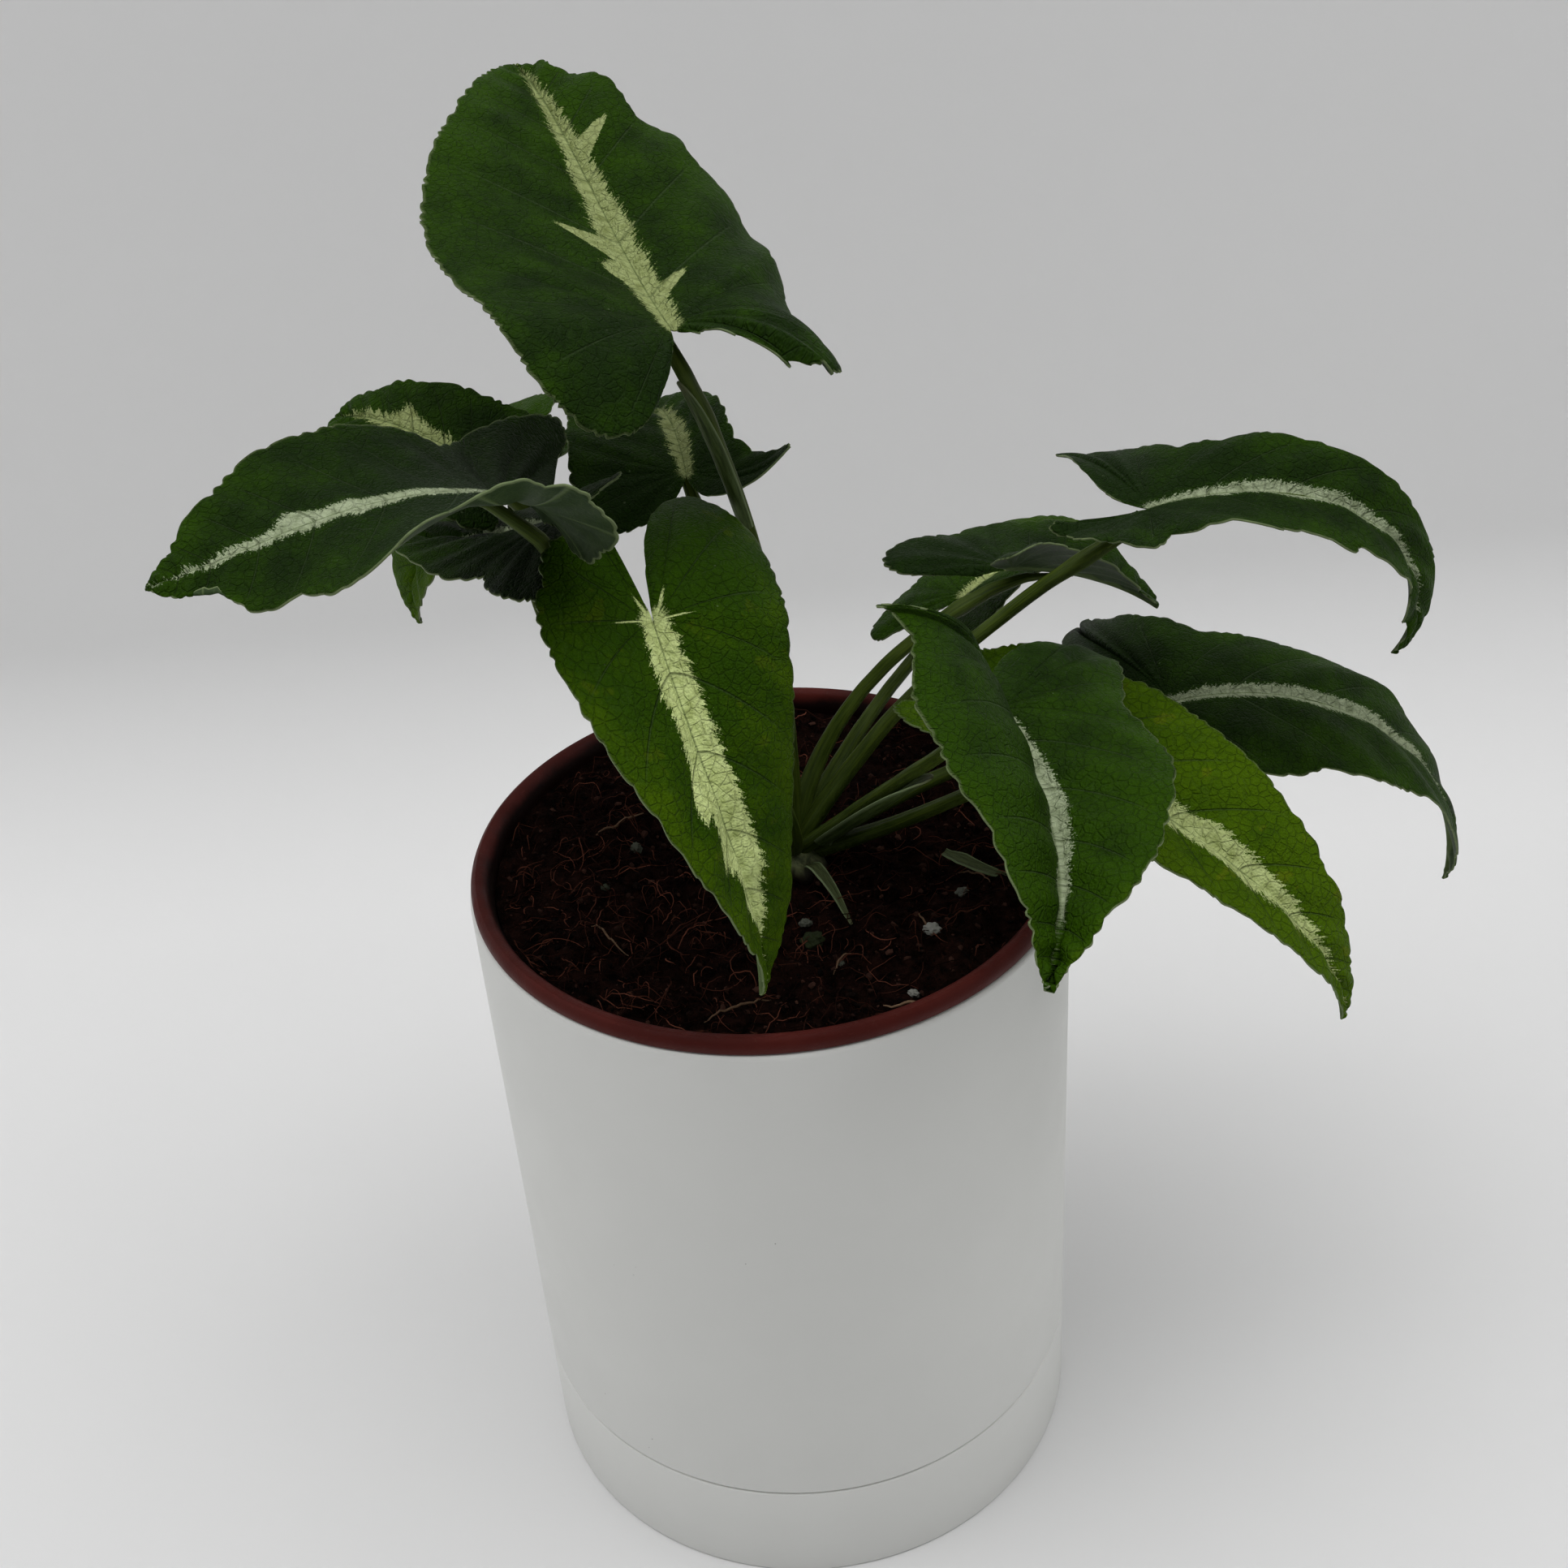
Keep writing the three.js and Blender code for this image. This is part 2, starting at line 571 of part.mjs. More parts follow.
function nurseryPot() {
  const skirtInner = RIM_RADIUS - NURSERY_WALL;
  const shell = turned([
    [0, NURSERY_BASE],
    [NURSERY_BASE_RADIUS, NURSERY_BASE],
    [NURSERY_NECK, POT_TOP],
    [NURSERY_NECK, RIM_TOP - NURSERY_WALL],
    [skirtInner, RIM_TOP - NURSERY_WALL],
    [skirtInner, POT_TOP + GAP],
    [RIM_RADIUS, POT_TOP + GAP],
    [RIM_RADIUS, RIM_TOP - RIM_ROUND],
    [RIM_RADIUS - RIM_ROUND, RIM_TOP],
    [NURSERY_NECK - NURSERY_WALL, RIM_TOP],
    [NURSERY_NECK - NURSERY_WALL, POT_TOP],
    [nurseryRadius(NURSERY_BASE + NURSERY_WALL) - NURSERY_WALL, NURSERY_BASE + NURSERY_WALL],
    [0, NURSERY_BASE + NURSERY_WALL],
  ]);
  const holes = [];
  for (let i = 0; i < NURSERY_HOLES; i += 1) {
    const angle = (2 * Math.PI * i) / NURSERY_HOLES;
    const x = NURSERY_HOLE_CIRCLE * Math.cos(angle);
    const y = NURSERY_HOLE_CIRCLE * Math.sin(angle);
    holes.push(holeThrough(NURSERY_HOLE_RADIUS, NURSERY_WALL, x, y, NURSERY_BASE));
  }
  return cut(shell, ...holes);
}

// The crown, half in the soil and half above it, grown all round by an amount.
function crownBody(grow) {
  const body = new THREE.SphereGeometry(1, CROWN_SIDES, CROWN_RINGS);
  body.rotateX(Math.PI / 2);
  body.scale(CROWN_RADIUS + grow, CROWN_RADIUS + grow, CROWN_DEPTH + grow);
  body.translate(CROWN_PLACE.x, CROWN_PLACE.y, CROWN_PLACE.z);
  return body;
}

// A smooth uneven rise of the soil's surface: two crossing waves and a finer one half as high.
const SOIL_WAVE_X = 9;
const SOIL_WAVE_Y = 11;
const SOIL_WAVE_FINE = 6;

function soilRise(x, y) {
  const wide = Math.sin(x / SOIL_WAVE_X + 1) * Math.cos(y / SOIL_WAVE_Y);
  const fine = Math.sin((x + y) / SOIL_WAVE_FINE) / 2;
  return (SOIL_MOUND * (wide + fine)) / 1.5;
}

// The soil fills the nursery pot. Its surface is level where it meets the wall and uneven inside that.
function soil() {
  const bottom = NURSERY_BASE + NURSERY_WALL + GAP;
  const wallGap = NURSERY_WALL + GAP;
  const outer = Math.min(nurseryRadius(SOIL_LEVEL), NURSERY_NECK) - wallGap;
  const profile = [
    [0, bottom],
    [nurseryRadius(bottom) - wallGap, bottom],
    [outer, SOIL_LEVEL],
  ];
  for (let ring = SOIL_RINGS - 1; ring >= 0; ring -= 1) {
    profile.push([(outer * ring) / SOIL_RINGS, SOIL_LEVEL]);
  }
  const body = turned(profile);
  const place = body.attributes.position;
  for (let i = 0; i < place.count; i += 1) {
    const [x, y, z] = [place.getX(i), place.getY(i), place.getZ(i)];
    const atWall = Math.hypot(x, y) > outer * (1 - 1 / (2 * SOIL_RINGS));
    if (z > SOIL_LEVEL - GAP && !atWall) place.setZ(i, z + soilRise(x, y));
  }
  return cut(body, crownBody(GAP));
}

// ---------------------------------------------------------------------------------------------------
// The plant
// ---------------------------------------------------------------------------------------------------

add('drip_tray', dripTray(), GLAZE);
add('cover_pot', coverPot(), GLAZE);
add('nursery_pot', nurseryPot(), TERRACOTTA);
add('soil', soil(), SOIL);
add('crown', crownBody(0), STALK);
for (const leaf of LEAVES) {
  add(`blade_${leaf.name}`, blade(leaf), LEAF_FINISH[leaf.name] ?? DARK_LEAF);
  add(`stalk_${leaf.name}`, stalk(leaf), STALK);
}
for (const piece of SHEATHS) add(piece.name, sheath(piece), SHEATH);

export default plant;
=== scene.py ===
import math
import random

import bpy
import numpy as np
from mathutils import Matrix, Vector, noise


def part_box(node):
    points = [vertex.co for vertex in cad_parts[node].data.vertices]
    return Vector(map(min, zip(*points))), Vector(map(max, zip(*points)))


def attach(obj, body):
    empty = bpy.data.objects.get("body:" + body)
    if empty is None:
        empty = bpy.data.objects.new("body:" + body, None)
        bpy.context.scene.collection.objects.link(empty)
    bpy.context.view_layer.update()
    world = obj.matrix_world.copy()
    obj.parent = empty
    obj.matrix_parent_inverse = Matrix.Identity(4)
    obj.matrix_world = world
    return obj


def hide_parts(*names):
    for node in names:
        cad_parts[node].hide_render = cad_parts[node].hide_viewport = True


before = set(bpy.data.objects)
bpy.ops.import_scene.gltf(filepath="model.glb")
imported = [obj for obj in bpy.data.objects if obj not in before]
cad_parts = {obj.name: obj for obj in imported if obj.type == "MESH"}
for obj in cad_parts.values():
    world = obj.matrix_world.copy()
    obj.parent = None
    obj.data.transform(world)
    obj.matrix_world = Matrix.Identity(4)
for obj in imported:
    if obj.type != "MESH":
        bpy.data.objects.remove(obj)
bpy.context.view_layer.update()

bl_info = {
    "name": "Potted arrowhead plant",
    "version": (1, 0, 0),
    "blender": (4, 5, 0),
    "location": "3D View > Sidebar > Plant",
    "description": "An arrowhead plant in a nursery pot, a straight cover pot and a drip tray",
    "category": "Object",
}

# ------------------------------------------------------------------------------------------------
# Places taken from the frame, in metres
# ------------------------------------------------------------------------------------------------

MM = 0.001
TRAY_LOW, TRAY_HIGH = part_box("drip_tray")
POT_LOW, POT_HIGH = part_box("cover_pot")
NURSERY_LOW, NURSERY_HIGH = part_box("nursery_pot")
SOIL_LOW, SOIL_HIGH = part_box("soil")
CROWN_LOW, CROWN_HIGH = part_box("crown")
CROWN = (CROWN_LOW + CROWN_HIGH) / 2
CROWN_RADIUS = (CROWN_HIGH.x - CROWN_LOW.x) / 2
SOIL_LEVEL = CROWN.z
SOIL_RADIUS = SOIL_HIGH.x

# ------------------------------------------------------------------------------------------------
# Sizes that a user would change
# ------------------------------------------------------------------------------------------------


class PotSizes(bpy.types.PropertyGroup):
    wall: bpy.props.FloatProperty(
        name="Cover pot wall", description="Thickness of the cover pot and the tray",
        default=3.0 * MM, min=1.0 * MM, unit="LENGTH")
    rim_top: bpy.props.FloatProperty(
        name="Rim width", description="Width of the nursery pot's rim seen from above",
        default=2.3 * MM, min=1.5 * MM, unit="LENGTH")
    rim_skirt: bpy.props.FloatProperty(
        name="Rim height", description="Height of the nursery pot's rim",
        default=3.0 * MM, min=2.0 * MM, unit="LENGTH")
    glaze: bpy.props.FloatVectorProperty(
        name="Glaze", description="Colour of the cover pot and the tray",
        default=(0.76, 0.765, 0.74), subtype="COLOR", size=3)
    plastic: bpy.props.FloatVectorProperty(
        name="Plastic", description="Colour of the nursery pot",
        default=(0.095, 0.013, 0.009), subtype="COLOR", size=3)


class LeafSizes(bpy.types.PropertyGroup):
    thickness: bpy.props.FloatProperty(
        name="Blade thickness", description="Thickness of a leaf blade",
        default=0.4 * MM, min=0.2 * MM, unit="LENGTH")
    quilting: bpy.props.FloatProperty(
        name="Quilting", description="How far a blade swells between its side veins",
        default=0.8 * MM, min=0.0, unit="LENGTH")
    ruffle: bpy.props.FloatProperty(
        name="Ruffle", description="Height of the waves along a blade's margin",
        default=1.5 * MM, min=0.0, unit="LENGTH")
    teeth: bpy.props.FloatProperty(
        name="Margin teeth", description="Depth of the small notches in a blade's margin",
        default=0.8 * MM, min=0.0, unit="LENGTH")
    scallops: bpy.props.FloatProperty(
        name="Margin scallops", description="Depth of the large notches in a blade's margin",
        default=3.3 * MM, min=0.0, unit="LENGTH")
    stalk_base: bpy.props.FloatProperty(
        name="Stalk base radius", description="Radius of a stalk where it leaves the crown",
        default=2.9 * MM, min=0.8 * MM, unit="LENGTH")
    stalk_top: bpy.props.FloatProperty(
        name="Stalk top radius", description="Radius of a stalk under its blade",
        default=1.4 * MM, min=0.4 * MM, unit="LENGTH")


class SoilSizes(bpy.types.PropertyGroup):
    lumps: bpy.props.FloatProperty(
        name="Lumps", description="Height of the lumps in the soil's surface",
        default=2.0 * MM, min=0.0, unit="LENGTH")
    crumbs: bpy.props.IntProperty(
        name="Crumbs", description="Loose crumbs on the soil", default=2200, min=0)
    fibres: bpy.props.IntProperty(
        name="Fibres", description="Coir fibres on the soil", default=1500, min=0)
    seed: bpy.props.IntProperty(
        name="Seed", description="Start of the random draws", default=7)


class StageSizes(bpy.types.PropertyGroup):
    lens: bpy.props.FloatProperty(
        name="Lens", description="Focal length of the camera in millimetres", default=46.58, min=10.0)
    key: bpy.props.FloatProperty(
        name="Overhead light", description="Power of the large overhead light",
        default=20.5, min=0.0, unit="POWER")
    sides: bpy.props.FloatProperty(
        name="Side lights", description="Power of each of the two side lights",
        default=3.4, min=0.0, unit="POWER")
    sky: bpy.props.FloatProperty(
        name="Sky", description="Strength of the light from all round", default=0.18, min=0.0)


# ------------------------------------------------------------------------------------------------
# Leaves: the same table as the frame's blades are made from, with the finish of each
# ------------------------------------------------------------------------------------------------


def half(width, fold, curl, lobe, back, spread, ruffle=0.4):
    return dict(width=width, fold=fold, curl=curl, lobe=lobe, back=back, spread=spread, ruffle=ruffle)


LEAVES = [
    dict(name="top", join=(-13, -8, 117), length=96, fullness=0.15, heading=105, pitch=1, droop=-50,
         hook=50, sweep=5, roll=25, twist=-5, azimuth=66, rise=79,
         left=half(35, 5, -20, 0.3, 55, -5, 0.1), right=half(28, 50, -75, 0.15, 15, 20, 1.2)),
    dict(name="left_front", join=(-42, -22, 96), length=62, fullness=0.1, heading=195, pitch=23, droop=70,
         hook=-45, sweep=10, roll=15, twist=-45, azimuth=249, rise=60,
         left=half(31, -5, 40, 0.25, 65, -10, 1.2), right=half(30, -10, 25, 0.35, 20, 55, 0.6)),
    dict(name="left_back", join=(-55, 29, 80), length=41, fullness=-0.1, heading=149, pitch=18, droop=30,
         hook=20, sweep=-20, roll=-15, twist=-15, azimuth=118, rise=40,
         left=half(16, 15, -15, 0.35, 15, 10), right=half(14, 20, -20, 0.35, 15, 10)),
    dict(name="left_hanging", join=(-52, 60, 66), length=46, fullness=0, heading=197, pitch=-19, droop=65,
         hook=15, sweep=5, roll=5, twist=-15, azimuth=168, rise=28,
         left=half(22, 15, -15, 0.35, 15, 10), right=half(22, 15, -25, 0.35, 10, 10)),
    dict(name="behind_stalk", join=(-14, 35, 70), length=44, fullness=0.15, heading=96, pitch=20, droop=45,
         hook=10, sweep=10, roll=5, twist=0, azimuth=95, rise=60,
         left=half(22, 5, 0, 0.32, 20, 15), right=half(11, 20, 15, 0.5, -50, 30)),
    dict(name="left_low", join=(-35, 6, 78), length=47, fullness=0, heading=146, pitch=-28, droop=-30,
         hook=-5, sweep=20, roll=-5, twist=15, azimuth=190, rise=50,
         left=half(24, 10, -15, 0.35, 25, 40), right=half(12, 10, -30, 0.2, -5, 0)),
    dict(name="front", join=(-20, -32, 75), length=72, fullness=-0.15, heading=-75, pitch=-31, droop=64,
         hook=0, sweep=35, roll=0, twist=-25, azimuth=275, rise=50,
         left=half(26, 20, -60, 0.5, 45, 5, 0.4), right=half(22, 25, -25, 0.3, -10, -5, 0.4)),
    dict(name="right_top", join=(72, 6, 69), length=78, fullness=-0.1, heading=-5, pitch=19, droop=80,
         hook=65, sweep=0, roll=-5, twist=40, azimuth=10, rise=56,
         left=half(18, 20, -20, 0.2, -25, 50, 0.5), right=half(20, 10, -5, 0.25, -35, -5, 1.3)),
    dict(name="right_inner", join=(49, 25, 48), length=42, fullness=0, heading=23, pitch=-13, droop=30,
         hook=0, sweep=0, roll=-30, twist=45, azimuth=50, rise=62,
         left=half(23, 30, -5, 0.5, 15, 5, 0.8), right=half(16, 20, -10, 0.3, 15, 25, 0.8)),
    dict(name="right_back", join=(43, 53, 27), length=50, fullness=0, heading=43, pitch=10, droop=20,
         hook=20, sweep=0, roll=-15, twist=20, azimuth=48, rise=38,
         left=half(18, 15, -30, 0.35, 15, 10), right=half(18, 20, -10, 0.35, 15, 10)),
    dict(name="right_front", join=(37, -36, 54), length=67, fullness=0.2, heading=-71, pitch=-5, droop=-5,
         hook=20, sweep=-40, roll=-25, twist=30, azimuth=-32, rise=45,
         left=half(21, 35, -25, 0.35, 25, 40, 0.4), right=half(31, 65, -60, 0.25, -55, 35, 0.4)),
    dict(name="right_bright", join=(51, -18, 35), length=79, fullness=0, heading=-50, pitch=-10, droop=20,
         hook=55, sweep=25, roll=-5, twist=5, azimuth=-12, rise=22,
         left=half(22, 25, -10, 0.35, 10, -5, 0.5), right=half(17, 15, -20, 0.35, 15, 10, 0.3)),
    dict(name="right_low", join=(82, 24, 14), length=95, fullness=-0.05, heading=-2, pitch=14, droop=100,
         hook=10, sweep=-5, roll=15, twist=-5, azimuth=22, rise=16,
         left=half(22, 5, -20, 0.3, 45, 50, 1.0), right=half(27, 15, -20, 0.2, -60, 20, 0.6)),
]

FIT = 0.99  # share of the frame's blade sizes, so that the fine margins stay inside it
for row in LEAVES:
    row["length"] *= FIT
    row["left"]["width"] *= FIT
    row["right"]["width"] *= FIT

# The pale band of each leaf: half its width at its widest, where along the blade it is widest and
# where it ends, and side branches as (side, place in the outline, reach, spread).
BANDS = {
    "top": dict(width=3.7, peak=0.35, end=0.97, branches=[("left", 0.685, 11, 0.011), ("right", 0.775, 9, 0.007),
                                                         ("right", 0.64, 8, 0.007), ("left", 0.66, 6, 0.012)]),
    "left_front": dict(width=2.4, peak=0.45, end=0.93, branches=[("left", 0.72, 3, 0.01), ("right", 0.76, 4, 0.02)]),
    "left_back": dict(width=2.6, peak=0.3, end=0.8, branches=[("right", 0.70, 5, 0.02)]),
    "left_hanging": dict(width=2.0, peak=0.3, end=0.7, branches=[]),
    "behind_stalk": dict(width=2.6, peak=0.3, end=0.7, branches=[]),
    "left_low": dict(width=1.6, peak=0.3, end=0.6, branches=[]),
    "front": dict(width=4.6, peak=0.55, end=0.85, branches=[("left", 0.30, 5, 0.05), ("left", 0.52, 5, 0.012),
                                                            ("right", 0.30, 4, 0.05), ("right", 0.50, 6, 0.012),
                                                            ("right", 0.71, 8, 0.02), ("right", 0.75, 7, 0.012)]),
    "right_top": dict(width=2.0, peak=0.35, end=0.9, branches=[]),
    "right_inner": dict(width=1.8, peak=0.3, end=0.7, branches=[]),
    "right_back": dict(width=2.6, peak=0.3, end=0.75, branches=[]),
    "right_front": dict(width=2.9, peak=0.4, end=0.82, branches=[("right", 0.70, 4, 0.012)]),
    "right_bright": dict(width=3.4, peak=0.5, end=0.87, branches=[("left", 0.72, 4, 0.02)]),
    "right_low": dict(width=2.6, peak=0.4, end=0.88, branches=[("right", 0.72, 3, 0.012)]),
}
# Brightness of each leaf's pale band: painted light and shade, darker on leaves lying in shade and lighter on well-lit
# leaves.
BAND_PAINTED_LIGHT = {"top": 0.75, "front": 1.5, "right_bright": 1.1, "left_back": 0.8, "behind_stalk": 0.6,
              "right_low": 0.8, "right_top": 0.85}
GREY_BANDS = ("left_front", "left_low", "right_top", "right_front", "right_low")

# How far each leaf is turned from the darkest to the lightest green: partly each leaf's own tone, partly painted light
# and shade, with leaves in shade set darker and well-lit leaves lighter.
LIGHTNESS = {
    "top": 0.28, "left_front": 0.12, "left_back": 0.25, "left_hanging": 0.7, "behind_stalk": 0.2,
    "left_low": 0.15, "front": 0.72, "right_top": 0.18, "right_inner": 0.22, "right_back": 0.5,
    "right_front": 0.4, "right_bright": 0.95, "right_low": 0.25,
}

LEAF_SLOTS = {"left_hanging": "leaf_mid", "front": "leaf_mid", "right_back": "leaf_mid",
              "right_bright": "leaf_bright"}

# Half outline of a blade: across and along as shares, of the lobe's length where the third is true.
HALF_OUTLINE = [
    (0, 0, False), (0.03, -0.18, True), (0.12, -0.54, True), (0.31, -0.9, True), (0.56, -1, True),
    (0.82, -0.74, True), (0.97, -0.26, True), (1, 0.1, False), (0.94, 0.32, False), (0.77, 0.54, False),
    (0.52, 0.74, False), (0.24, 0.9, False), (0.07, 0.975, False), (0, 1, False),
]
LOBE_TURN = 0.1
LOBE_INNER = 0.35
VEIN_LEAN = 0.3
VEIN_PLACES = (0.0, 0.13, 0.27, 0.39, 0.49, 0.575, 0.645, 0.70, 0.755, 0.80, 0.845, 0.89, 0.95, 1.0)
MIDRIB_STEPS = 80
BLADE_ROWS = 320
BLADE_COLUMNS = 26
STALK_REACH = 0.5
CAD_BLADE = 0.7
CAD_GAP = 0.6
CAD_STALK = 1.2

# ------------------------------------------------------------------------------------------------
# Shaping tools
# ------------------------------------------------------------------------------------------------


def select_only(piece):
    bpy.ops.object.select_all(action="DESELECT")
    piece.select_set(True)
    bpy.context.view_layer.objects.active = piece


def coordinates(piece):
    found = np.zeros(len(piece.data.vertices) * 3)
    piece.data.vertices.foreach_get("co", found)
    return found.reshape(-1, 3)


def add_field(piece, name, values):
    """A vector for each point, which the materials read."""
    field = piece.data.attributes.new(name, "FLOAT_VECTOR", "POINT")
    field.data.foreach_set("vector", np.ascontiguousarray(values, np.float32).ravel())


def weld(piece, distance=1e-6):
    select_only(piece)
    bpy.ops.object.mode_set(mode="EDIT")
    bpy.ops.mesh.select_all(action="SELECT")
    bpy.ops.mesh.remove_doubles(threshold=distance)
    bpy.ops.mesh.dissolve_degenerate(threshold=distance)
    bpy.ops.object.mode_set(mode="OBJECT")


def face_out(piece):
    select_only(piece)
    bpy.ops.object.mode_set(mode="EDIT")
    bpy.ops.mesh.select_all(action="SELECT")
    bpy.ops.mesh.normals_make_consistent(inside=False)
    bpy.ops.object.mode_set(mode="OBJECT")


def apply_modifier(piece, kind, **settings):
    select_only(piece)
    modifier = piece.modifiers.new(kind.title(), kind)
    for key, value in settings.items():
        setattr(modifier, key, value)
    bpy.ops.object.modifier_apply(modifier=modifier.name)


def grid_piece(name, columns, rows, place):
    """A grid whose points go where place(across, along) says, both running from 0 to 1."""
    bpy.ops.object.select_all(action="DESELECT")
    bpy.ops.mesh.primitive_grid_add(x_subdivisions=columns, y_subdivisions=rows, size=1)
    piece = bpy.context.object
    piece.name = name
    piece.data.name = name
    flat = coordinates(piece) + 0.5
    points, fields = place(flat[:, 0], flat[:, 1])
    piece.data.vertices.foreach_set("co", np.ascontiguousarray(points, np.float32).ravel())
    for key, values in fields.items():
        add_field(piece, key, values)
    piece.data.update()
    return piece


def turned_piece(name, profile, sides):
    """A ring that is extruded and resized from one profile point of (radius, height) to the next."""
    bpy.ops.object.select_all(action="DESELECT")
    radius, height = profile[0]
    bpy.ops.mesh.primitive_circle_add(vertices=sides, radius=radius, location=(0, 0, height))
    piece = bpy.context.object
    bpy.ops.object.transform_apply(location=True)
    piece.name = name
    piece.data.name = name
    bpy.ops.object.mode_set(mode="EDIT")
    bpy.ops.mesh.select_all(action="SELECT")
    bpy.ops.mesh.edge_face_add()
    bpy.ops.mesh.select_all(action="SELECT")
    bpy.ops.object.mode_set(mode="OBJECT")
    select_only(piece)
    bpy.ops.object.mode_set(mode="EDIT")
    bpy.ops.mesh.select_all(action="DESELECT")
    bpy.ops.mesh.select_mode(type="EDGE")
    bpy.ops.mesh.select_all(action="SELECT")
    for new_radius, new_height in profile[1:]:
        bpy.ops.mesh.extrude_edges_move(TRANSFORM_OT_translate={"value": (0, 0, new_height - height)})
        grow = new_radius / radius
        bpy.ops.transform.resize(value=(grow, grow, 1), center_override=(0, 0, 0))
        radius, height = new_radius, new_height
    bpy.ops.mesh.edge_face_add()
    bpy.ops.object.mode_set(mode="OBJECT")
    face_out(piece)
    return piece


def round_edges(piece, width, segments=3, angle=35):
    apply_modifier(piece, "BEVEL", width=width, segments=segments, limit_method="ANGLE",
                   angle_limit=math.radians(angle))


def smooth(piece, angle=40):
    select_only(piece)
    bpy.ops.object.shade_smooth_by_angle(angle=math.radians(angle))


def drill(piece, places, radius, depth):
    """Cuts upright round holes centred on the places."""
    for place in places:
        bpy.ops.object.select_all(action="DESELECT")
        bpy.ops.mesh.primitive_cylinder_add(vertices=32, radius=radius, depth=depth, location=place)
        tool = bpy.context.object
        apply_modifier(piece, "BOOLEAN", operation="DIFFERENCE", solver="EXACT", object=tool)
        bpy.data.objects.remove(tool)


def finish_piece(piece, material, slot, *nodes):
    if material is not None:
        piece.data.materials.clear()
        piece.data.materials.append(material)
    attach(piece, "root")
    if nodes:
        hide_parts(*nodes)
    return piece


# ------------------------------------------------------------------------------------------------
# Node tools
# ------------------------------------------------------------------------------------------------


class Finish:
    """A material whose nodes are added one by one."""

    def __init__(self, name, roughness=0.5, specular=0.5, **sockets):
        self.material = bpy.data.materials.new(name)
        self.material.use_nodes = True
        self.nodes = self.material.node_tree.nodes
        self.links = self.material.node_tree.links
        self.shader = self.nodes["Principled BSDF"]
        self.shader.inputs["Roughness"].default_value = roughness
        self.shader.inputs["Specular IOR Level"].default_value = specular
        for key, value in sockets.items():
            self.shader.inputs[key.replace("_", " ").title()].default_value = value

    def put(self, socket, value):
        if isinstance(value, bpy.types.NodeSocket):
            self.links.new(value, socket)
        elif hasattr(socket.default_value, "__len__") and not hasattr(value, "__len__"):
            socket.default_value = (value,) * len(socket.default_value)
        elif hasattr(value, "__len__") and len(socket.default_value) == 4 and len(value) == 3:
            socket.default_value = (*value, 1.0)
        else:
            socket.default_value = value

    def node(self, kind, **settings):
        made = self.nodes.new(kind)
        for key, value in settings.items():
            setattr(made, key, value)
        return made

    def math(self, operation, first, second=0.0, third=0.0, clamp=False):
        made = self.node("ShaderNodeMath", operation=operation, use_clamp=clamp)
        for socket, value in zip(made.inputs, (first, second, third)):
            self.put(socket, value)
        return made.outputs[0]

    def ramp(self, value, low, high, start=0.0, end=1.0):
        """A smooth step from start to end while value goes from low to high."""
        made = self.node("ShaderNodeMapRange", interpolation_type="SMOOTHSTEP")
        for key, number in (("Value", value), ("From Min", low), ("From Max", high),
                            ("To Min", start), ("To Max", end)):
            self.put(made.inputs[key], number)
        return made.outputs["Result"]

    def mix(self, factor, first, second, blend="MIX"):
        made = self.node("ShaderNodeMix", data_type="RGBA", blend_type=blend)
        self.put(made.inputs[0], factor)
        self.put(made.inputs[6], first)
        self.put(made.inputs[7], second)
        return made.outputs[2]

    def place(self):
        return self.node("ShaderNodeTexCoord").outputs["Object"]

    def field(self, name):
        return self.node("ShaderNodeAttribute", attribute_name=name).outputs["Vector"]

    def parts(self, vector):
        made = self.node("ShaderNodeSeparateXYZ")
        self.links.new(vector, made.inputs[0])
        return made.outputs

    def scaled(self, vector, scale):
        made = self.node("ShaderNodeMapping")
        self.links.new(vector, made.inputs["Vector"])
        made.inputs["Scale"].default_value = scale
        return made.outputs[0]

    def noise(self, vector, scale, detail=3.0, rough=0.5, distortion=0.0):
        made = self.node("ShaderNodeTexNoise")
        self.links.new(vector, made.inputs["Vector"])
        made.inputs["Scale"].default_value = scale
        made.inputs["Detail"].default_value = detail
        made.inputs["Roughness"].default_value = rough
        made.inputs["Distortion"].default_value = distortion
        return made.outputs[0]

    def cells(self, vector, scale, feature="F1"):
        made = self.node("ShaderNodeTexVoronoi", feature=feature)
        self.links.new(vector, made.inputs["Vector"])
        made.inputs["Scale"].default_value = scale
        return made.outputs["Distance"]

    def bump(self, height, distance, strength=1.0):
        made = self.node("ShaderNodeBump")
        self.links.new(height, made.inputs["Height"])
        made.inputs["Distance"].default_value = distance
        made.inputs["Strength"].default_value = strength
        self.links.new(made.outputs[0], self.shader.inputs["Normal"])

    def colour(self, socket):
        self.links.new(socket, self.shader.inputs["Base Color"])

    def roughness(self, socket):
        self.links.new(socket, self.shader.inputs["Roughness"])


# ------------------------------------------------------------------------------------------------
# Finishes
# ------------------------------------------------------------------------------------------------


def white_glaze(colour):
    finish = Finish("white glaze", roughness=0.55, specular=0.35)
    place = finish.place()
    cloud = finish.noise(place, 22, 4, 0.55)
    speck = finish.ramp(finish.cells(place, 330), 0.035, 0.06, 0.0, 1.0)
    rare = finish.ramp(finish.noise(place, 41, 1), 0.70, 0.72)
    dark = finish.math("MULTIPLY", finish.math("SUBTRACT", 1.0, speck), rare)
    shade = tuple(c * 0.985 for c in colour)
    body = finish.mix(finish.ramp(cloud, 0.35, 0.65), colour, shade)
    finish.colour(finish.mix(dark, body, (0.22, 0.21, 0.19)))
    finish.roughness(finish.ramp(finish.noise(place, 90, 3), 0.3, 0.7, 0.48, 0.62))
    ripple = finish.noise(finish.scaled(place, (1, 1, 5)), 60, 3)
    finish.bump(finish.math("ADD", ripple, finish.noise(place, 700, 2)), 0.00003, 0.4)
    return finish.material


